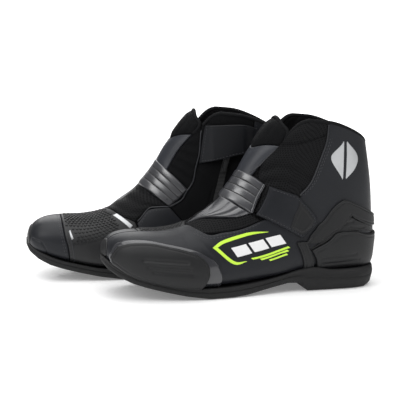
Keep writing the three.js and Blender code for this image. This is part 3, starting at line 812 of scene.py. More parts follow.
def make_sole_rubber(c):
    f = Finish("Sole rubber", c.rubber, 0.72, specular_ior_level=0.35)
    place, cloud, _ = f.clouds((30.0, 5.0, 0.6), scaled(c.rubber, 1.7), 0.6, 0.2, 0.8)
    f.bump(f.noise(place, 1500.0, 3.0) * 0.6 + cloud * 0.4, 0.0002, 0.6)
    return f.material


def make_pad_rubber(c):
    f = Finish("Shift pad rubber", c.plastic, 0.55, specular_ior_level=0.4)
    place, *_ = f.clouds((28.0, 4.0), scaled(c.plastic, 1.7), 0.42, 0.18)
    f.bump(f.noise(place, 2200.0, 2.0), 0.00015, 0.6)
    return f.material


def make_thread(c):
    f = Finish("Sewing thread", c.thread, 0.6)
    place = f.object_place()
    f.tint(f.noise(place, 900.0), scaled(c.thread, 1.8))
    f.bump(f.noise(place, 4000.0), 0.0001, 0.6)
    return f.material


def make_piping(c):
    f = Finish("Piping", scaled(c.leather, 1.2), 0.4)
    place, *_ = f.clouds((80.0, 3.0), scaled(c.leather, 1.8), 0.34, 0.14)
    f.bump(f.noise(place, 1800.0), 0.0001, 0.5)
    return f.material


def printed(name, color, roughness=0.45, metallic=0.0):
    f = Finish(name, color, roughness, metallic)
    place, *_ = f.clouds((240.0, 4.0, 0.6), scaled(color, 0.8), roughness - 0.06, 0.14, 0.5)
    f.bump(f.cells(place, 1050.0) * 0.5, 0.0001, 0.4)
    return f.material


def make_accent(c):
    return printed("Accent print", c.accent)


def make_white(c):
    return printed("Light print", c.light)


def make_silver(c):
    return printed("Reflective film", c.silver, 0.32, 0.55)


def make_metal(c):
    f = Finish("Dark metal", (0.18, 0.18, 0.19), 0.32, 0.95)
    _, rub, _ = f.clouds((700.0, 4.0, 0.6), (0.32, 0.32, 0.33), 0.22, 0.25)
    f.bump(rub, 0.00006, 0.5)
    return f.material


def make_black_metal(c):
    f = Finish("Blackened metal", (0.02, 0.02, 0.021), 0.4, 0.6)
    place = f.object_place()
    rub = f.noise(place, 900.0, 4.0, 0.6)
    f.tint((rub - 0.55) * 3.0, (0.12, 0.12, 0.12))
    f.set("Roughness", 0.3 + rub * 0.2)
    f.bump(rub, 0.00006, 0.5)
    return f.material


def make_board(c):
    f = Finish("Fibre board", (0.012, 0.011, 0.010), 0.85)
    place = f.object_place()
    fibre = f.noise(place, 600.0, 5.0, 0.7)
    f.tint(fibre, (0.03, 0.028, 0.025))
    f.bump(fibre, 0.0002, 0.7)
    return f.material


def make_piping_textile(c):
    f = Finish("Rim textile", c.fabric, 0.8, specular_ior_level=0.12)
    place, *_ = f.clouds((40.0, 4.0), scaled(c.fabric, 2.2), 0.7, 0.2)
    f.bump(f.cells(place, 1100.0), 0.0004, 0.7)
    return f.material


def make_zip_tape(c):
    f = Finish("Zip tape", c.fabric, 0.7)
    place = f.object_place()
    height = f.node("ShaderNodeSeparateXYZ", inputs={0: place}, output=2)
    teeth = (height * 4200.0).sin()
    f.tint(teeth * 0.5 + 0.5, scaled(c.fabric, 3.5))
    f.set("Roughness", 0.45 + f.noise(place, 800.0) * 0.3)
    f.bump(teeth, 0.0006, 0.8)
    return f.material


# ---- Pieces ----

def repaint(**kinds):
    """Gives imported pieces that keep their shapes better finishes."""
    for node, kind in kinds.items():
        for side in SIDES:
            obj = bpy.data.objects[f"{side}_{node}"]
            if not obj.material_slots:
                obj.data.materials.append(None)
            for slot in obj.material_slots:
                slot.material = finish(kind)


def sewn(name, lines, body="boots", slot="lateral_shell", **kw):
    """A pair's run of stitches along several rails, each (rail, distance off the last)."""
    runs = [stitches(line, distance, **kw) for line, distance in lines]
    add_pair(name, merge(*runs), finish("thread"), body, slot=slot)


def ridge(*ahead, angle=0.1):
    return join(*(crest(a, angle) for a in ahead))


def rail_pairs(*pairs):
    """Two rails from runs that match one another, each pair (run, run)."""
    return rail(*(a for a, _ in pairs)), rail(*(b for _, b in pairs))


def make_lateral_shell():
    south, north = rail_pairs(
        (outer((298, 40), (291, 31), (277, 25), (257, 19.5), (231, 14.5), (212, 11), off=2),
         join(crest(299.3, 0.3), crest(293, 0.12), ridge(277, 255, 230, 213.5))),
        (outer((212, 11), (197, 10.5), (179, 10.5), (156, 11), (137, 13), (118, 15), (95, 18), off=2),
         join(ridge(213.5), outer((197, 67), (179, 68.5), (156, 72), (137, 79), (118, 86), (95, 103)))),
        (outer((95, 18), (84, 18), (73, 18), (62, 18), (54, 18.5), off=2),
         outer((95, 103), (84, 116), (73, 142), (66, 163), (64, 183.5))),
        (join(outer((54, 18.5), (40, 19), (24, 20), off=2), heel_line(24)),
         join(outer((64, 183.5), (42, 176), (23, 166)), heel_line(157))),
    )

    def relief(t, angle, u, v, depth):
        soft = undulation(t, angle) * smooth(depth / 8)
        crease = sum(groove(t, angle, line, 2.2, 0.5) for line in
                     ([(205, 60), (190, 45), (182, 30)], [(220, 62), (212, 48), (208, 36)]))
        return soft + crease * smooth(depth / 6)

    add_skin("lateral_shell", (south, north), (190, 64), 0, LEATHER, "leather", relief)


def make_medial_shell():
    south, north = rail_pairs(
        (inner((172, 10), (165, 10), (150, 11), off=2), inner((179, 62), (166, 76), (142, 79.5))),
        (inner((150, 11), (138, 13), (118, 15), (98, 17), (78, 18), off=2),
         inner((142, 79.5), (128, 64), (112, 52), (95, 47), (74, 56))),
        (inner((78, 18), (66, 18), (56, 18.5), (46, 19), off=2), inner((74, 56), (60, 88), (51, 130), (46, 178))),
        (join(inner((46, 19), (30, 19.5), off=2), heel_line(24, -1)),
         join(inner((46, 177.5), (30, 170.5)), heel_line(157, -1))),
    )

    def relief(t, angle, u, v, depth):
        return undulation(t, angle) * smooth(depth / 8)

    add_skin("medial_shell", (south, north), (120, 56), 0, LEATHER, "leather", relief)


def make_toe_cap():
    south = rail(inner((298, 40), (291, 31), (277, 25), (255, 19.5), off=2))
    north = rail(join(crest(299.3, 0.3), crest(293, 0.12), ridge(279, 265)))
    east_start = south(np.array(1.0))
    east = rail(join(east_start[None], inner((256, 34), (260, 50)), ridge(265)))

    def relief(t, angle, u, v, depth):
        insert = groove(t, angle, [(294, 47), (286, 45), (281, 37), (280, 31), (284, 24)], 0.9, 0.9)
        return insert * smooth((depth - 1) / 2) * (angle < 0)

    add_skin("toe_cap", (south, north, None, east), (60, 80), 0, LEATHER, "leather", relief)


def make_toe_bumper():
    """The rubber bumper moulded over the very tip of the toe, above the sole's lip."""
    angle = np.linspace(-math.pi, math.pi, 65)
    fine = np.linspace(0.02, 30, 300)
    T, A = np.meshgrid(fine, angle, indexing="ij")
    places = on_last(T, A)
    tip = places[0].mean(0)
    arc = np.concatenate([np.linalg.norm(places[:1] - tip, axis=-1),
                          np.linalg.norm(np.diff(places, axis=0), axis=-1)]).cumsum(0)
    reach = 12 + 1.5 * np.cos(angle) + np.where(angle < 0, 8, 4) * np.sin(angle) ** 2
    lengths = np.linspace(arc[0], reach, 22)
    T = np.stack([np.interp(lengths[:, i], arc[:, i], fine) for i in range(65)], 1)
    A = np.broadcast_to(angle, T.shape)
    dome = round_edge(reach - lengths, 2.5)
    sheets = []
    for distance in (LEATHER - 0.5 + 1.7 * dome, np.full(T.shape, LEATHER - 0.5)):
        sheet = off_last(T, A, distance)
        sheet[:, -1] = sheet[:, 0]
        centre = sheet[0].mean(0)
        sheets.append(np.concatenate([np.broadcast_to(centre, (1, 65, 3)), sheet]))
    bm = closed(sheets[0], sheets[1], np.concatenate([T[:1], T]), np.concatenate([A[:1], A]), None,
                wrap=True, pole=True)
    add_pair("toe_bumper", bm, finish("moulded"), slot="outsole")


def make_shift_pad():
    south = rail(inner((255, 19.5), (231, 14), (205, 11), (172, 10), off=2))
    ends = south(np.array([0.0, 1.0]))
    west = rail(join(ends[:1], inner((256, 34), (260, 50)), ridge(265)))
    east = rail(join(ends[1:], inner((174, 32), (176, 50), (181, 63))),
                join(inner((181, 63), (189, 66.5), (197, 69.5)), ridge(213.5)))
    north = rail(ridge(265, 247, 230, 213.5))
    edges = (south, north, west, east)
    add_skin("shift_pad", edges, (60, 64), 0, LEATHER, "pad_rubber")
    # Staggered six-sided studs over the upper half of the pad.
    pitch = bpy.context.scene.boot_sizes.stud_pitch / MM
    places, u, v = grid_places(*edges, 160, 160)
    flat = on_last(places[..., 0], places[..., 1])
    studs = bmesh.new()
    sides = edge_distance(flat)
    across = sides[2][:, places.shape[1] // 2]
    for row, height in enumerate(np.arange(across[-1] - 3.5, across[-1] * 0.42, -pitch * 0.87)):
        j = int(np.argmin(abs(across - height)))
        run = sides[0][j]
        for distance in np.arange(4.2 + (row % 2) * pitch / 2, run[-1] - 3.4, pitch):
            i = int(np.argmin(abs(run - distance)))
            t, angle = places[j, i]
            spot = off_last(t, angle, LEATHER - 0.1)
            strip = side_distance(t, angle, [(203, 70), (185.5, 57.8)])
            glint = side_distance(t, angle, [(255.3, 55), (251.6, 47)])
            if spot[2] < 26 or spot[0] < 199 or strip < 4.6 or glint < 3.4:
                continue
            out = Vector(way_out(t, angle))
            turn = out.to_track_quat("Z", "X").to_matrix().to_4x4()
            bmesh.ops.create_cone(studs, cap_ends=True, segments=6, radius1=pitch * 0.46, radius2=pitch * 0.27,
                                  depth=1.4, matrix=Matrix.Translation(Vector(spot) + out * 0.5) @ turn)
    add_pair("shift_pad_studs", studs, finish("pad_rubber"), slot="shift_pad", smooth_faces=False)


def make_vamp_mesh():
    south = rail(outer((213, 72.3), (207, 68.8), (197, 67.2), (179, 68.7), (156, 72.2), (137, 79)))
    north = rail(outer((213, 74.5), (199, 79.5), (190, 81.2), (176, 82), (161, 83), (147.5, 86.5)))
    add_skin("vamp_mesh", (south, north), (60, 14), 0, LEATHER - 0.5, "spacer_mesh")


def make_flex_pleats():
    south = rail(outer((213, 74.8), (199, 79.7), (182, 82.2), (161, 83.2), (147.5, 86.7)))
    north = rail(join(crest(213, 0.02), crest(203, 0.02), crest(192, 0.02), crest(182, 0.02), crest(173, 0.02)))
    east = rail(join(outer((147.5, 86.7), (157, 92.5), (165, 98)), crest(173, 0.02)))

    def relief(t, angle, u, v, depth):
        folds = np.abs(np.sin(math.pi * (3.4 * v + 0.25 * np.sin(u * 5)))) ** 0.6
        return 1.5 * folds * smooth(u / 0.5) * smooth(depth / 2)

    add_skin("flex_pleats", (south, north, None, east), (80, 60), 0, 1.8, "gloss", relief)


RIB_MARGIN = 0.03  # the plain share of the guard above and below its ribs


def make_instep_ribs():
    south = rail(join(outer((147.5, 86.5), (162, 96)), crest(174), inner((160, 93), (142, 79.5))))
    north = rail(join(outer((131, 117.5), (143, 126.5)), crest(152), inner((137, 115.5), (121, 99))))
    count = bpy.context.scene.boot_sizes.rib_count

    def relief(t, angle, u, v, depth):
        share = np.clip((v - RIB_MARGIN) / (1 - 2 * RIB_MARGIN), 0, 1) * count
        crown = np.abs(np.sin(math.pi * share)) ** 0.15 * (0.72 + 0.28 * (share % 1))
        ends = smooth(np.minimum(u, 1 - u) / 0.04)
        return 1.5 * crown * (0.35 + 0.65 * ends) * smooth(depth / 1.5)

    add_skin("instep_ribs", (south, north), (110, 96), 0, 2.3, "gloss", relief)
    # A dark bead lies in every groove like a seam. Its darkness is the groove's painted shade.
    places, _, v = grid_places(south, north, None, None, 110, 200)
    levels = RIB_MARGIN + (1 - 2 * RIB_MARGIN) * np.arange(1, count) / count
    rows = [places[int(np.argmin(abs(v[:, 0] - level)))] for level in levels]
    seams = [roll(rail(row), np.full(90, 0.5), 3.2, 90) for row in rows]
    add_pair("instep_seams", merge(*seams), finish("sole_rubber"), slot="instep_ribs")


def make_tongue():
    south = rail(join(outer((146, 122.5), (151, 124)), crest(157), inner((151, 122), (145, 118))))
    middle = rail(join(outer((112, 158), (125, 158.5)), crest(138), inner((126, 160), (115, 161))))
    north = rail(join(outer((106, 172), (110, 180)), crest(113), inner((111, 179), (107, 172))))
    west = rail(outer((146, 122.5), (134, 137), (123, 149), (112, 158)))
    east = rail(inner((145, 118), (137, 132), (128, 146), (115, 161)))

    def relief(t, angle, u, v, depth):
        return 0.9 * np.sin(u * math.pi) * np.sin(v * math.pi) * smooth(depth / 8)

    add_skin("tongue", (south, middle, west, east), (60, 50), 0, LEATHER, "satin_leather", relief)

    def puff(t, angle, u, v, depth):
        return (1.3 + 0.6 * np.abs(np.sin(u * 19)) ** 0.7) * smooth(depth / 9) ** 0.6

    add_skin("tongue_top", (middle, north), (56, 34), 0, 1.6, "textile", puff, edge=2, node="tongue", fill=0.5)


FOLD = [(110, 159), (97, 160), (84, 164), (66, 170)]


def make_collar_lateral():
    west = rail(outer((144, 89), (135, 106), (137, 121), (133, 137), (123, 149), (112, 158)))
    south = rail(outer((144, 89), (135, 84.5), (127, 84), (118, 86.5), (105, 95), (95, 103)))
    north = rail(outer((112, 158), (103, 172), (94, 181), (84, 185), (75, 186), (64, 183.5)))
    east = rail(outer((95, 103), (84, 116), (73, 142), (66, 163), (64, 183.5)))

    def relief(t, angle, u, v, depth):
        puff = 1.5 * smooth(depth / 14) ** 0.7
        folds = sum(groove(t, angle, line, width, deep) for line, width, deep in (
            (FOLD, 1.8, 2.0), ([(131, 131), (116, 137), (99, 133), (82, 124)], 3.2, 1.9),
            ([(134, 118), (118, 122), (101, 118), (90, 111)], 2.8, 1.6), ([(110, 159), (100, 170), (84, 176)], 5, -0.8),
            ([(126, 140), (108, 147), (92, 142)], 5, -0.8), ([(128, 126), (112, 129), (96, 124)], 3.4, -0.7)))
        return puff + folds * smooth(depth / 3)

    add_skin("collar_lateral", (south, north, west, east), (84, 96), 0, 1.7, "spacer_mesh", relief, edge=2.2, fill=0.5)


def make_gusset():
    south = rail(inner((145, 118.5), (138, 113), (130, 106), (121, 99)))
    north = rail(inner((115, 161), (112, 163.5), (109, 166.5), (105.5, 169.5)))
    west = rail(inner((145, 118.5), (137, 132), (128, 146), (115, 161)))
    east = rail(inner((121, 99), (113, 118), (107.5, 142), (105.5, 169.5)))

    def relief(t, angle, u, v, depth):
        return 0.8 * np.abs(np.sin(v * 17)) ** 2 * smooth(depth / 3)

    add_skin("gusset", (south, north, west, east), (26, 70), 0, 1.2, "textile", relief, fill=0.3)


def make_vamp_textile():
    south = rail(inner((181, 63), (175, 69), (166, 76.5), (155, 79), (142, 79.5)))
    west = rail(join(inner((181, 63), (189, 66.5), (197, 69.5)), ridge(213)))
    north = rail(join(ridge(213, 203, angle=0.02), ridge(192, 182, 173.5, angle=0.02)))
    east = rail(join(inner((142, 79.5), (152, 87), (162, 94)), crest(173.5, 0.02)))

    def relief(t, angle, u, v, depth):
        return 0.9 * np.abs(np.sin(u * 9 + v * 2)) ** 1.5 * smooth(depth / 5)

    add_skin("vamp_textile", (south, north, west, east), (66, 50), 0, 1.5, "spacer_mesh", relief, fill=0.3)


def make_collar_medial():
    west = rail(inner((142, 79.5), (128, 88), (121, 99)), inner((121, 99), (113, 118), (107.5, 142), (104, 172)))
    south = rail(inner((142, 79.5), (128, 64), (112, 52), (95, 47), (74, 56)))
    north = rail(inner((104, 172), (94, 181), (84, 185), (75, 186), (64, 183.5), (46, 178)))
    east = rail(inner((74, 56), (60, 88), (51, 130), (46, 178)))

    def relief(t, angle, u, v, depth):
        puff = 0.5 * smooth(depth / 10)
        seam = groove(t, angle, [(118, 55), (100, 78), (94, 100)], 0.8, 0.6)
        under_flap = groove(t, angle, [(108, 126), (104, 150), (99, 174)], 5.0, 0.9)
        return puff + seam * smooth(depth / 3) + under_flap * smooth(depth / 1.5)

    add_skin("collar_medial", (south, north, west, east), (90, 110), 0, 1.7, "textile", relief, edge=2, fill=0.4)


RIM = ((94, 181), (84, 185), (75, 186), (64, 183.5), (42, 176), (23, 166))


def make_lining():
    rim = join(crest(112), outer((110, 180), (106, 172), *RIM), heel_line(157))
    inside = join(crest(112), inner((110, 180), (106, 171), *RIM), heel_line(157, -1))
    angle = np.linspace(-math.pi, math.pi, 97)
    top = np.where(angle >= 0, np.interp(angle, rim[:, 1], rim[:, 0]),
                   np.interp(-angle, -inside[:, 1], inside[:, 0])) - 0.03
    share = np.linspace(0, 1, 130)[:, None]
    t = 0.3 + (top[None, :] - 0.3) * share
    angles = np.broadcast_to(angle, t.shape)
    points = off_last(t, angles, np.full(t.shape, -0.3))
    points[:, -1] = points[:, 0]
    across = np.concatenate([np.zeros((len(t), 1)),
                             np.cumsum(np.linalg.norm(np.diff(points, axis=1), axis=-1), 1)], 1)
    along = np.concatenate([np.zeros((1, 97)), np.cumsum(np.linalg.norm(np.diff(points, axis=0), axis=-1), 0)], 0)
    inward = np.full(t.shape, -2.1)
    inward[-1] = -0.3
    behind = off_last(t, angles, inward)
    behind[:, -1] = behind[:, 0]
    bm = closed(points, behind, t, angles, np.stack([across, along], -1) * MM, wrap=True)
    add_pair("lining", bm, finish("knit"), node="lining", fill=0.4)


def rim_line():
    return rail(join(outer((112, 158), (103, 172), *RIM), heel_line(157), beyond(*RIM[::-1], (104, 171))))


def make_rim():
    bead_mesh = roll(rim_line(), np.full(260, 2.35), 0.15, 260, sides=12)
    tongue = rail(join(outer((112, 158), (106, 172), (110, 180)), crest(111.5), inner((111, 180), (107, 172),
                                                                                    (115, 161))))
    tongue_mesh = roll(tongue, np.full(140, 2.1), 0.1, 140, sides=12)
    add_pair("collar_rim", merge(bead_mesh, tongue_mesh), finish("piping_textile"), slot="lining", fill=0.6)


def round_heel(side, back, height, off=0.0):
    """A rail round the heel, the same on both sides, with a corner where side meets back."""
    middle = join(outer(*back, off=off), heel_line(height), beyond(*back[::-1], off=off))
    return rail(outer(*side, off=off), middle, beyond(*side[::-1], off=off))


def make_heel_cup():
    inside = round_heel(((83, 13), (83, 46), (72, 53.5), (58, 61), (50, 65.5), (42, 74), (36, 80.5)),
                        ((36, 80.5), (31, 76.5), (14, 68)), 65)
    outside = round_heel(((95, 13), (94, 43), (87, 55), (74, 73), (61, 87), (53, 95), (46, 99)),
                         ((46, 99), (38, 97), (16, 86)), 77)
    low = round_heel(((83, 45), (70, 51), (58, 58), (48, 62.5), (36, 63.2)), ((36, 63.2), (24, 63.2), (14, 62)), 58)
    high = round_heel(((83, 46.4), (70, 54.5), (58, 62), (47, 69), (36.5, 80)), ((36.5, 80), (28, 75), (14, 69)), 66)

    def border(t, angle, u, v, depth):
        return -0.55 * np.exp(-((depth - 3.1) / 0.6) ** 2)

    def vents(t, angle, u, v, depth):
        return groove(t, angle, [(44, 72.5), (34, 74)], 1.6, 0.9) + groove(t, angle, [(38, 68), (20, 66)], 1.3, 0.8)

    add_skin("heel_web", (low, high), (200, 16), LEATHER - 0.1, 1.1, "moulded", vents, edge=0.8, slot="heel_cup")
    add_skin("heel_cup", (inside, outside), (240, 26), FIRST, 2.6, "moulded", border, edge=1.3)


def make_heel_plate():
    south = round_heel(((82, 15), (66, 14), (48, 14), (30, 15)), ((30, 15),), 22, off=5.5)
    north = round_heel(((82, 45.5), (58, 59), (48, 64), (30, 63.8)), ((30, 63.8),), 59)

    def relief(t, angle, u, v, depth):
        side = on_last(t, angle)
        rail_line = -0.6 * np.exp(-((depth - 4) / 0.55) ** 2)
        on_side = smooth((side[..., 0] - 12) / 6)
        bars = sum(groove(t, angle, line, 1.0, 0.9) for line in
                   ([(72, 37), (30, 39)], [(72, 31), (26, 32.5)], [(71, 25), (23, 26)]))
        return rail_line + bars * on_side * smooth((depth - 5) / 1.5)

    add_skin("heel_plate", (south, north), (220, 60), FIRST, 3.2, "moulded", relief, edge=1.8)


def make_toe_slider():
    south = rail(outer((294.5, 39.5), (287, 34), (269, 26.5), (245, 20.5), (220, 16.5), (186, 15), off=2))
    north = rail(outer((296, 46), (291, 55), (283, 59), (262, 60), (239, 56.5), (216, 52), (201, 46)))
    east = rail(outer((186, 15), (187, 33), (201, 46)))
    add_skin("slider_base", (south, north, None, east), (90, 40), FIRST, 1.8, "polished", edge=1.2)
    south = rail(outer((291.5, 39.5), (285, 35.5), (269, 28), (245, 22), (225, 18.5), (207, 16)))
    north = rail(outer((293.5, 45.5), (289, 52.5), (283, 56), (262, 57), (239, 53.5), (217, 49), (205, 43)))
    east = rail(outer((207, 16), (200, 22), (198.5, 34), (205, 43)))

    def relief(t, angle, u, v, depth):
        bars = sum(groove(t, angle, line, 1.5, 1.5) for line in
                   ([(264, 44), (222, 39.5)], [(260, 39), (219, 34)], [(255, 34), (217, 29)]))
        rim = -0.5 * np.exp(-((depth - 4.6) / 0.7) ** 2)
        return bars * smooth((depth - 5.5) / 2) + rim

    add_skin("toe_slider", (south, north, None, east), (130, 70), FIRST + 2.1, 5.0, "moulded", relief, edge=4.2)


def make_strap():
    south = rail(outer((142.9, 85), (130, 79.5), (118, 73.5), (105, 66.5), (93, 59.5)))
    north = rail(outer((126.3, 115.3), (118, 112.7), (111, 110.3), (104, 108), (97, 105.5)))
    east = rail(outer((93, 59.5), (84, 67.5), (76, 79), (85, 92), (97, 105.5)))
    floor = FIRST + CLEARANCE

    def relief(t, angle, u, v, depth):
        return -0.35 * np.exp(-((depth - 2.4) / 0.5) ** 2) + 0.25 * smooth((depth - 3) / 5)

    add_skin("ankle_strap", (south, north, None, east), (90, 70), floor, STRAP, "leather", relief, body="strap")
    low = rail(outer((106, 71), (99, 67), (93, 63.5)))
    high = rail(outer((95, 99.5), (87, 90), (79.5, 79)))
    far = rail(outer((93, 63.5), (84.5, 69.5), (79.5, 79)))
    near = rail(outer((106, 71), (100.5, 85), (95, 99.5)))

    def raised(t, angle, u, v, depth):
        return 0.35 * np.exp(-((depth - 3) / 0.8) ** 2)

    add_skin("strap_tip", (low, high, near, far), (30, 40), floor + STRAP + CLEARANCE, 0.9, "moulded", raised, edge=0.8,
             body="strap")
    bar = roll(rail(outer((147.5, 86.5), (140, 102), (131, 117.5))), np.full(60, 1.7), FIRST + 1.6, 60, sides=12)
    add_pair("strap_keeper", bar, finish("polished"), node="strap_keeper")


def flap_floor(t, angle):
    """How far off the last the flap's back is: clear of the collar's zip except at its two ends."""
    ahead = on_last(t, angle)[..., 0]
    return FIRST + 5.8 * smooth((105 - ahead) / 14) * smooth((ahead - 47) / 14)


def make_flap():
    south = rail(inner((108, 129), (94, 132), (78, 136), (62, 140), (47, 144)))
    north = rail(inner((100, 171), (86, 172.3), (72, 173.5), (58, 173), (44, 168)))

    def seam(t, angle, u, v, depth):
        return -0.3 * np.exp(-((depth - 2.4) / 0.5) ** 2)

    add_skin("closure_flap", (south, north), (90, 60), flap_floor, 1.8, "dark_leather", seam, edge=0.9, body="flap")


def make_zip():
    repaint(zip_chain="zip_tape", zip_slider="black_metal", zip_puller="black_metal")


# The sole's outline on the outer and inner side, [ahead, aside], then its foot and its top, [ahead, height].
PLAN = [(0.5, 0), (7, 20), (26, 33), (55, 35.5), (88, 36), (122, 40), (155, 46.5), (190, 50.5), (222, 50.5),
        (250, 46.5), (273, 38.5), (291, 25.5), (302, 9), (304.5, -9)]
PLAN_INNER = [(0.5, 0), (7, -20), (26, -32), (55, -34), (88, -34), (125, -36), (165, -40), (205, -45.5),
              (240, -47.5), (268, -45.5), (288, -38), (300, -25), (304.5, -9)]
FOOT = [(0, 9.5), (2, 9), (7, 3), (16, 0), (84, 0), (92, 9), (106, 10), (132, 5.5), (156, 1.2), (170, 0), (196, 0),
        (221, 4), (245, 9.5), (263, 14), (277, 18), (290, 24), (300, 31), (306, 40)]
TOP = [(0, 23), (38, 22.5), (57, 23), (73, 26), (81, 26.5), (96, 24), (115, 19), (139, 15), (172, 12),
       (200, 12), (222, 14), (245, 19), (269, 25), (292, 34.5), (301, 41.5), (306, 45)]
TREAD = (22, 36, 50, 64, 176, 188, 200)  # where grooves cross the tread
# The side wall from its top to the tread: how far in, and what share of the sole's height.
WALL = ((8, 1.0), (2.0, 1.0), (0.8, 0.985), (0.15, 0.94), (0, 0.88), (0, 0.66), (0.9, 0.62),
        (0.9, 0.56), (0.1, 0.52), (0.1, 0.3), (0.5, 0.14), (1.3, 0.045), (3.0, 0.0))


def flowing(points, count=400):
    """The height of a smooth curve through points, for any place ahead."""
    p = np.array(points, float)
    s = np.linspace(0, 1, count)
    at = rail(p)(s)
    order = np.argsort(at[:, 0])
    return lambda a: np.interp(a, at[order, 0], at[order, 1])


def make_outsole():
    out, inn = flowing(PLAN), flowing(PLAN_INNER)
    foot, top = (lambda a: np.interp(a, *np.array(FOOT).T)), flowing(TOP)
    stations = list(2 + 151 * (1 - np.cos(np.linspace(0, math.pi, 130))))
    for g in TREAD:
        stations += [g - 1.55, g - 1.4, g + 1.4, g + 1.55]
    stations += [84, 85.5, 87, 88.5, 90, 92, 94]
    stations = np.unique(np.clip(np.round(stations, 3), 0.7, 304.3))
    rings = []
    for a in stations:
        o, i, low, high = out(a), inn(a), foot(a), top(a)
        groove_up = 2.4 if any(abs(a - g) < 1.45 for g in TREAD) else 0.0
        wide = max(o - i, 1.5)
        soft = min(1.0, wide / 14)
        tall = high - low
        flare = 4.4 * smooth((114 - a) / 26) * smooth((a + 6) / 12)
        half = []
        for inset, share in WALL:
            z = high - 0.8 if inset == WALL[0][0] else low + tall * share
            bulge = smooth((share - 0.1) / 0.5) * (1 - 0.6 * smooth((share - 0.72) / 0.28))
            half.append((inset * soft - flare * bulge, z))
        ring = [(o - x, z) for x, z in half]
        for share in (0.16, 0.34, 0.5, 0.66, 0.84):
            ring.append((o - (o - i) * share, low + groove_up))
        ring += [(i + x, z) for x, z in reversed(half)]
        ring += [((o + i) / 2, high - 0.8), ring[0]]
        rings.append([(a, y, z) for y, z in ring])
    bm = grid_mesh(np.array(rings), wrap=True)
    close_ends(bm)
    add_pair("outsole", bm, finish("sole_rubber"), node="outsole")


def make_footbed():
    t = np.linspace(1.2, 11.0, 60)
    angle = np.linspace(2.35, 2 * math.pi - 2.35, 24)
    T, A = np.meshgrid(t, angle, indexing="ij")
    points = off_last(T, A, np.full(T.shape, -6.1))
    sides = edge_distance(points)
    dome = round_edge(np.min(sides, axis=0), 3)
    bm = closed(off_last(T, A, np.full(T.shape, -2.4)), off_last(T, A, -2.4 - 3.8 * dome), T, A,
                np.stack([sides[0], sides[2]], -1) * MM)
    add_pair("footbed", bm, finish("knit"), node="footbed", fill=0.3)


def make_insole():
    repaint(insole_board="board", shank="metal", slider_screw_front="metal", slider_screw_rear="metal")


# ---- Stage ----

SURROUNDINGS, BACKDROP = 0.22, 1.8  # how bright the studio's walls are to the boots and to the camera
CAMERA, AIM, LENS = (545, 1436, 337.4), (187.2, 0, 89.8), 120  # in the left boot's own place
SKY, SKY_SPREAD = 2.6, 75
# Each area light: its place in metres, its size and its share of the light's power.
LIGHTS = {
    "light_top": ((-0.15, 0.35, 1.1), 0.9, 0.12),
    "light_left": ((-1.2, -0.7, 0.9), 0.7, 0.5),
    "light_right": ((1.2, -0.9, 0.7), 0.7, 0.22),
    "light_back": ((0.1, 1.3, 0.8), 1.0, 0.5),
}


def face_to(obj, place, target):
    obj.location = place
    obj.rotation_euler = (Vector(target) - Vector(place)).to_track_quat("-Z", "Y").to_euler()
    bpy.context.scene.collection.objects.link(obj)


def make_stage():
    scene = bpy.context.scene
    world = bpy.data.worlds.new("Studio")
    world.use_nodes = True
    tree = world.node_tree
    seen = add_node(tree, "ShaderNodeLightPath", output="Is Camera Ray")
    strength = seen * (BACKDROP - SURROUNDINGS) + SURROUNDINGS
    background = tree.nodes["Background"]
    background.inputs["Color"].default_value = (1, 1, 1, 1)
    tree.links.new(strength.socket, background.inputs["Strength"])
    scene.world = world
    scene.view_settings.view_transform = "Standard"

    floor = Finish("Pale floor", (0.9, 0.9, 0.9), 0.35, specular_ior_level=0.25, emission_strength=0.19)
    floor.set("Emission Color", (1, 1, 1, 1))
    bm = bmesh.new()
    bmesh.ops.create_grid(bm, x_segments=2, y_segments=2, size=1.25)
    bmesh.ops.translate(bm, verts=bm.verts, vec=(0, 0, -0.0004))
    stage = add_object("floor", bm, floor.material, False)
    bm.free()
    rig.stage(stage)

    data = bpy.data.cameras.new("camera")
    data.lens, data.sensor_width = LENS, 36
    camera = bpy.data.objects.new("camera", data)
    face_to(camera, BOOT["left"] @ Vector(CAMERA), BOOT["left"] @ Vector(AIM))
    scene.camera = camera

    sun = bpy.data.lights.new("light_sky", "SUN")
    sun.energy, sun.angle = SKY, math.radians(SKY_SPREAD)
    sky = bpy.data.objects.new("light_sky", sun)
    sky.rotation_euler = (math.radians(12), math.radians(-8), 0)
    scene.collection.objects.link(sky)
    for name, (spot, size, share) in LIGHTS.items():
        light = bpy.data.lights.new(name, "AREA")
        light.size, light.energy = size, scene.boot_sizes.light_power * share
        face_to(bpy.data.objects.new(name, light), spot, (0, 0, 0.07))


# ---- Stitching, piping and prints ----

def undulation(t, angle):
    """The slight waves of a leather quarter over the foot, in mm."""
    p = on_last(t, angle)
    return 0.3 * np.sin(p[..., 0] * 0.07 + 0.6) * np.sin(p[..., 2] * 0.06)


def printed_shape(side, low, high, count=(24, 8)):
    """A thin film on a quarter's leather, between a lower and an upper line of [ahead, height]."""
    return panel((rail(side(*low)), rail(side(*high))), count,
                 lambda t, angle: LEATHER - 0.08 + undulation(t, angle), 0.2, edge=0.2)


def bar(side, start, end, width, slant=0.0):
    """A printed bar from start to end, its ends slanted."""
    (a0, h0), (a1, h1) = start, end
    half = width / 2
    return printed_shape(side, ((a0 + slant, h0 - half), (a1 + slant, h1 - half)),
                         ((a0 - slant, h0 + half), (a1 - slant, h1 + half)), (16, 4))


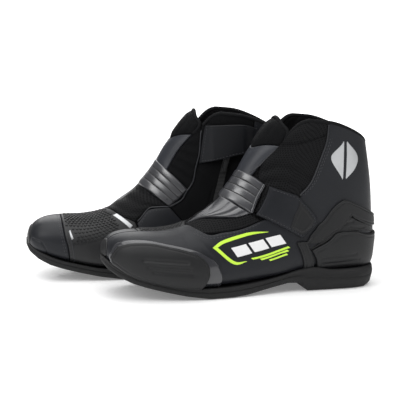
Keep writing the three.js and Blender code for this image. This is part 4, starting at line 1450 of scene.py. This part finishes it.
def make_prints():
    accent = merge(
        # An open bracket that points ahead, and three stripes that close it behind.
        printed_shape(outer, ((187.5, 53.6), (178, 58), (154, 63.9), (130, 66.9)),
                      ((193, 53.6), (181, 60.5), (155, 66.9), (130, 67.4))),
        printed_shape(outer, ((193, 53.6), (172, 36.5), (156, 37.6)), ((187.5, 53.6), (170.5, 39.4), (156, 38.2))),
        bar(outer, (150, 40.2), (107, 50.3), 1.8, -1.2),
        bar(outer, (140, 38.9), (108.2, 46.6), 1.7, -1.1),
        bar(outer, (130, 37.4), (109.4, 42.8), 1.6, -1.0),
    )
    add_pair("accent_print", accent, finish("accent"), slot="lateral_shell")
    light = merge(*(bar(outer, (a + 8.5, h - 1.6), (a - 8.5, h + 1.6), 9.8, -3.4)
                    for a, h in ((161.2, 49.4), (141.6, 53.4), (122, 57.4))))
    add_pair("light_print", light, finish("white"), slot="lateral_shell")
    kite = merge(
        printed_shape(outer, ((47, 163), (61, 146), (47, 121)), ((46.6, 161.5), (46.2, 146), (46.6, 123))),
        printed_shape(outer, ((43.4, 161), (43, 146), (43.4, 123.4)), ((43, 162.6), (29, 143), (43, 121.6))),
    )
    add_pair("silver_mark", kite, finish("silver"), slot="lateral_shell")
    strip = merge(
        panel((rail(inner((205.5, 69), (187, 56.3))), rail(inner((201, 71), (184, 59.4)))), (16, 6),
              LEATHER - 0.05, 0.3, edge=0.3),
        panel((rail(inner((256.2, 54), (252.5, 46.2))), rail(inner((254.4, 55.8), (250.7, 47.6)))), (8, 4),
              LEATHER - 0.05, 0.3, edge=0.3),
    )
    add_pair("silver_strips", strip, finish("silver"), slot="shift_pad")


OUTER_SEAMS = (
    ((211, 69.2), (197, 64.8), (179, 66.3), (156, 69.8), (137, 76.8)),
    ((210, 66.4), (197, 62.6), (179, 64.1), (156, 67.6), (139, 73.4)),
    ((92, 105), (81, 117), (70, 143), (63, 164), (61.2, 181)),
    ((89.6, 105.6), (78.6, 117.6), (67.6, 143.4), (60.6, 164.3), (58.8, 180)),
)
INNER_SEAMS = (
    ((258, 50), (254, 34), (252, 24)),
    ((176, 59), (166, 73), (145, 77)),
    ((126, 60.5), (112, 49.5), (95, 44.4), (76, 52.6)),
    ((72, 55.6), (57.6, 88), (48.6, 130), (44, 174)),
)


def make_stitching():
    skin = LEATHER - 0.1
    length = bpy.context.scene.boot_sizes.stitch_length / MM
    cap = [rail(join(inner((257.5 + k, 30), (262 + k, 50)), crest(267 + k, 0.05))) for k in (0, 2)]
    seams = [rail(outer(*seam)) for seam in OUTER_SEAMS] + cap + [rail(inner(*seam)) for seam in INNER_SEAMS]
    tongue = (rail(inner((136, 134), (127.5, 147.5), (117.5, 160))),
              rail(outer((134.5, 135), (131, 140.2), (121.5, 150.5), (112, 159))))
    sewn("stitches", [(line, skin) for line in seams] + [(line, skin + 0.3) for line in tongue], length=length)
    strap = rail(outer((140.5, 86.4), (129.5, 81.8), (117.5, 75.9), (104.5, 68.9), (94, 62)),
                 outer((94, 62), (85.6, 68.8), (78.6, 79), (87, 90.7), (98, 103.2)),
                 outer((98, 103.2), (104.6, 105.6), (111.5, 107.9), (118, 110.2), (124.5, 112.2)))
    sewn("strap_stitches", [(strap, FIRST + CLEARANCE + STRAP - 0.1)], "strap", "ankle_strap", length=length)
    patch = rail(outer((104, 72), (93.2, 65.6)), outer((93.2, 65.6), (86.2, 70.4), (81.6, 79)),
                 outer((81.6, 79), (88, 89), (94.6, 96.6)))
    sewn("patch_stitches", [(patch, FIRST + CLEARANCE + 3.7)], "strap", "strap_tip", length=1.8, gap=1.0, width=0.32)


def make_flap_stitches():
    """The flap stands off the last by a changing amount, so its stitches are laid out here."""
    length, gap = bpy.context.scene.boot_sizes.stitch_length / MM, 1.3
    line = rail(inner((97.6, 169), (101.5, 150), (105, 132)),
                inner((105, 132), (92, 134.3), (78, 138.3), (62, 142.3), (49.6, 146)))
    s = line(np.linspace(0, 1, 300))
    p = off_last(s[:, 0], s[:, 1], flap_floor(s[:, 0], s[:, 1]) + 1.65)
    run = np.concatenate([[0], np.cumsum(np.linalg.norm(np.diff(p, axis=0), axis=1))])
    whole = bmesh.new()
    for start in np.arange(1, run[-1] - 3.4, length + gap):
        a, b = (np.array([np.interp(x, run, p[:, k]) for k in range(3)]) for x in (start, start + length))
        along = Vector(b - a)
        turn = along.to_track_quat("X", "Z").to_matrix().to_4x4()
        one = bmesh.ops.create_icosphere(whole, subdivisions=1, radius=1)
        scale = Matrix.Diagonal((along.length / 2, 0.42, 0.36, 1))
        bmesh.ops.transform(whole, matrix=Matrix.Translation(Vector((a + b) / 2)) @ turn @ scale,
                            verts=one["verts"])
    add_pair("flap_stitches", whole, finish("thread"), "flap", slot="closure_flap")


def make_piping_lines():
    lines = [
        (join(inner((250, 21), (250.8, 34), (254.6, 50)), ridge(259.5)), 1.9, 0.7, 70),
        (inner((179, 63.4), (166, 76.8), (155, 79.4), (142, 79.8)), 1.9, 0.8, 70),
        (inner((142, 79.8), (128, 88.3), (121, 99.3), (113, 118), (107.5, 142), (105, 166)), 1.9, 0.85, 130),
        (outer((144.5, 128), (134, 137.3), (123, 149.3), (112.4, 158)), 1.9, 0.8, 70),
        (outer((94.6, 104.5), (84, 116.5), (73.2, 142), (66.2, 163), (64.2, 181.5)), 1.9, 0.8, 110),
    ]
    runs = [roll(rail(places), np.full(count, radius), distance, count) for places, distance, radius, count in lines]
    add_pair("piping_lines", merge(*runs), finish("piping"), slot="collar_lateral")


def make_trim():
    make_prints()
    make_stitching()
    make_flap_stitches()
    make_piping_lines()


# ---- Settings ----

def colour(name, description, value):
    return FloatVectorProperty(name=name, description=description, default=value, size=3, min=0, max=1,
                               subtype="COLOR")


class BootColours(bpy.types.PropertyGroup):
    leather: colour("Leather", "Smooth leather panels", (0.0092, 0.0100, 0.0124))
    fabric: colour("Fabric", "Mesh and woven panels", (0.0035, 0.0036, 0.0040))
    lining: colour("Lining", "Knitted lining and footbed", (0.006, 0.006, 0.0066))
    gloss: colour("Gloss", "Ribbed guard, pleats and polished plates", (0.024, 0.0245, 0.028))
    plastic: colour("Plastic", "Moulded slider, cup and plates", (0.0062, 0.0064, 0.0070))
    rubber: colour("Rubber", "Sole", (0.0055, 0.0055, 0.0058))
    thread: colour("Thread", "Stitches", (0.020, 0.021, 0.024))
    accent: colour("Accent", "Printed bracket and stripes", (0.56, 0.86, 0.06))
    light: colour("Light print", "Printed bars", (0.80, 0.80, 0.80))
    silver: colour("Silver", "Reflective film", (0.50, 0.51, 0.52))


class BootSizes(bpy.types.PropertyGroup):
    stud_pitch: FloatProperty(name="Stud pitch", description="Between studs on the shift pad",
                              default=0.0042, unit="LENGTH")
    stitch_length: FloatProperty(name="Stitch length", description="One stitch", default=0.0024, unit="LENGTH")
    rib_count: IntProperty(name="Ribs", description="Ribs on the instep guard", default=4, min=1, max=8)
    light_power: FloatProperty(name="Light power", description="The top light", default=16.0, unit="POWER")


# ---- Operators ----

class BuildLateralShell(bpy.types.Operator):
    """Outer quarter, from the toe round to the heel"""
    bl_idname, bl_label = "boots.lateral_shell", "Outer quarter"

    def execute(self, context):
        make_lateral_shell()
        return {"FINISHED"}


class BuildMedialShell(bpy.types.Operator):
    """Inner quarter"""
    bl_idname, bl_label = "boots.medial_shell", "Inner quarter"

    def execute(self, context):
        make_medial_shell()
        return {"FINISHED"}


class BuildToe(bpy.types.Operator):
    """Toe cap and shift pad on the inner side"""
    bl_idname, bl_label = "boots.toe", "Toe cap and shift pad"

    def execute(self, context):
        make_toe_cap()
        make_toe_bumper()
        make_shift_pad()
        return {"FINISHED"}


class BuildVamp(bpy.types.Operator):
    """Mesh, woven and pleated panels over the vamp"""
    bl_idname, bl_label = "boots.vamp", "Vamp panels"

    def execute(self, context):
        make_vamp_mesh()
        make_flex_pleats()
        make_vamp_textile()
        return {"FINISHED"}


class BuildInstep(bpy.types.Operator):
    """Ribbed instep guard"""
    bl_idname, bl_label = "boots.instep", "Instep guard"

    def execute(self, context):
        make_instep_ribs()
        return {"FINISHED"}


class BuildTongue(bpy.types.Operator):
    """Tongue and the gusset beside it"""
    bl_idname, bl_label = "boots.tongue", "Tongue and gusset"

    def execute(self, context):
        make_tongue()
        make_gusset()
        return {"FINISHED"}


class BuildCollar(bpy.types.Operator):
    """Padded collar panels and their rolled rim"""
    bl_idname, bl_label = "boots.collar", "Collar"

    def execute(self, context):
        make_collar_lateral()
        make_collar_medial()
        make_rim()
        return {"FINISHED"}


class BuildLining(bpy.types.Operator):
    """Sock lining and footbed"""
    bl_idname, bl_label = "boots.lining", "Lining and footbed"

    def execute(self, context):
        make_lining()
        make_footbed()
        return {"FINISHED"}


class BuildHeel(bpy.types.Operator):
    """Heel cup and heel plate"""
    bl_idname, bl_label = "boots.heel", "Heel cup and plate"

    def execute(self, context):
        make_heel_cup()
        make_heel_plate()
        return {"FINISHED"}


class BuildToeSlider(bpy.types.Operator):
    """Toe slider on its polished base"""
    bl_idname, bl_label = "boots.toe_slider", "Toe slider"

    def execute(self, context):
        make_toe_slider()
        return {"FINISHED"}


class BuildStrap(bpy.types.Operator):
    """Ankle strap, its end patch and its bar"""
    bl_idname, bl_label = "boots.strap", "Ankle strap"

    def execute(self, context):
        make_strap()
        return {"FINISHED"}


class BuildClosure(bpy.types.Operator):
    """Closure flap and zip"""
    bl_idname, bl_label = "boots.closure", "Flap and zip"

    def execute(self, context):
        make_flap()
        make_zip()
        return {"FINISHED"}


class BuildSole(bpy.types.Operator):
    """Outsole, insole board and shank"""
    bl_idname, bl_label = "boots.sole", "Sole"

    def execute(self, context):
        make_outsole()
        make_insole()
        return {"FINISHED"}


class BuildTrim(bpy.types.Operator):
    """Stitching, piping and printed marks"""
    bl_idname, bl_label = "boots.trim", "Stitching and prints"

    def execute(self, context):
        make_trim()
        return {"FINISHED"}


class BuildStage(bpy.types.Operator):
    """Floor, lights and camera"""
    bl_idname, bl_label = "boots.stage", "Stage"

    def execute(self, context):
        make_stage()
        return {"FINISHED"}


OPERATORS = (BuildLateralShell, BuildMedialShell, BuildToe, BuildVamp, BuildInstep, BuildTongue, BuildCollar,
             BuildLining, BuildHeel, BuildToeSlider, BuildStrap, BuildClosure, BuildSole, BuildTrim, BuildStage)


class BootsPanel(bpy.types.Panel):
    """Lists the pieces and their settings"""
    bl_idname, bl_label = "VIEW3D_PT_boots", "Riding boots"
    bl_space_type, bl_region_type, bl_category = "VIEW_3D", "UI", "Boots"

    def draw(self, context):
        for settings in (context.scene.boot_sizes, context.scene.boot_colours):
            box = self.layout.box()
            for name in settings.bl_rna.properties.keys():
                if name not in ("rna_type", "name"):
                    box.prop(settings, name)
        for operator in OPERATORS:
            self.layout.operator(operator.bl_idname)


def register():
    for cls in (BootColours, BootSizes, *OPERATORS, BootsPanel):
        bpy.utils.register_class(cls)
    bpy.types.Scene.boot_colours = PointerProperty(type=BootColours)
    bpy.types.Scene.boot_sizes = PointerProperty(type=BootSizes)


def unregister():
    del bpy.types.Scene.boot_sizes
    del bpy.types.Scene.boot_colours
    for cls in reversed((BootColours, BootSizes, *OPERATORS, BootsPanel)):
        bpy.utils.unregister_class(cls)


def main():
    register()
    for operator in OPERATORS:
        group, name = operator.bl_idname.split(".")
        getattr(getattr(bpy.ops, group), name)()
    with open("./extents.json", "w") as file:
        json.dump({"cad": [list(map(float, p)) for p in CAD_BOX],
                   "visual": [list(map(float, p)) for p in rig.bounds()]}, file)


if __name__ == "__main__":
    main()
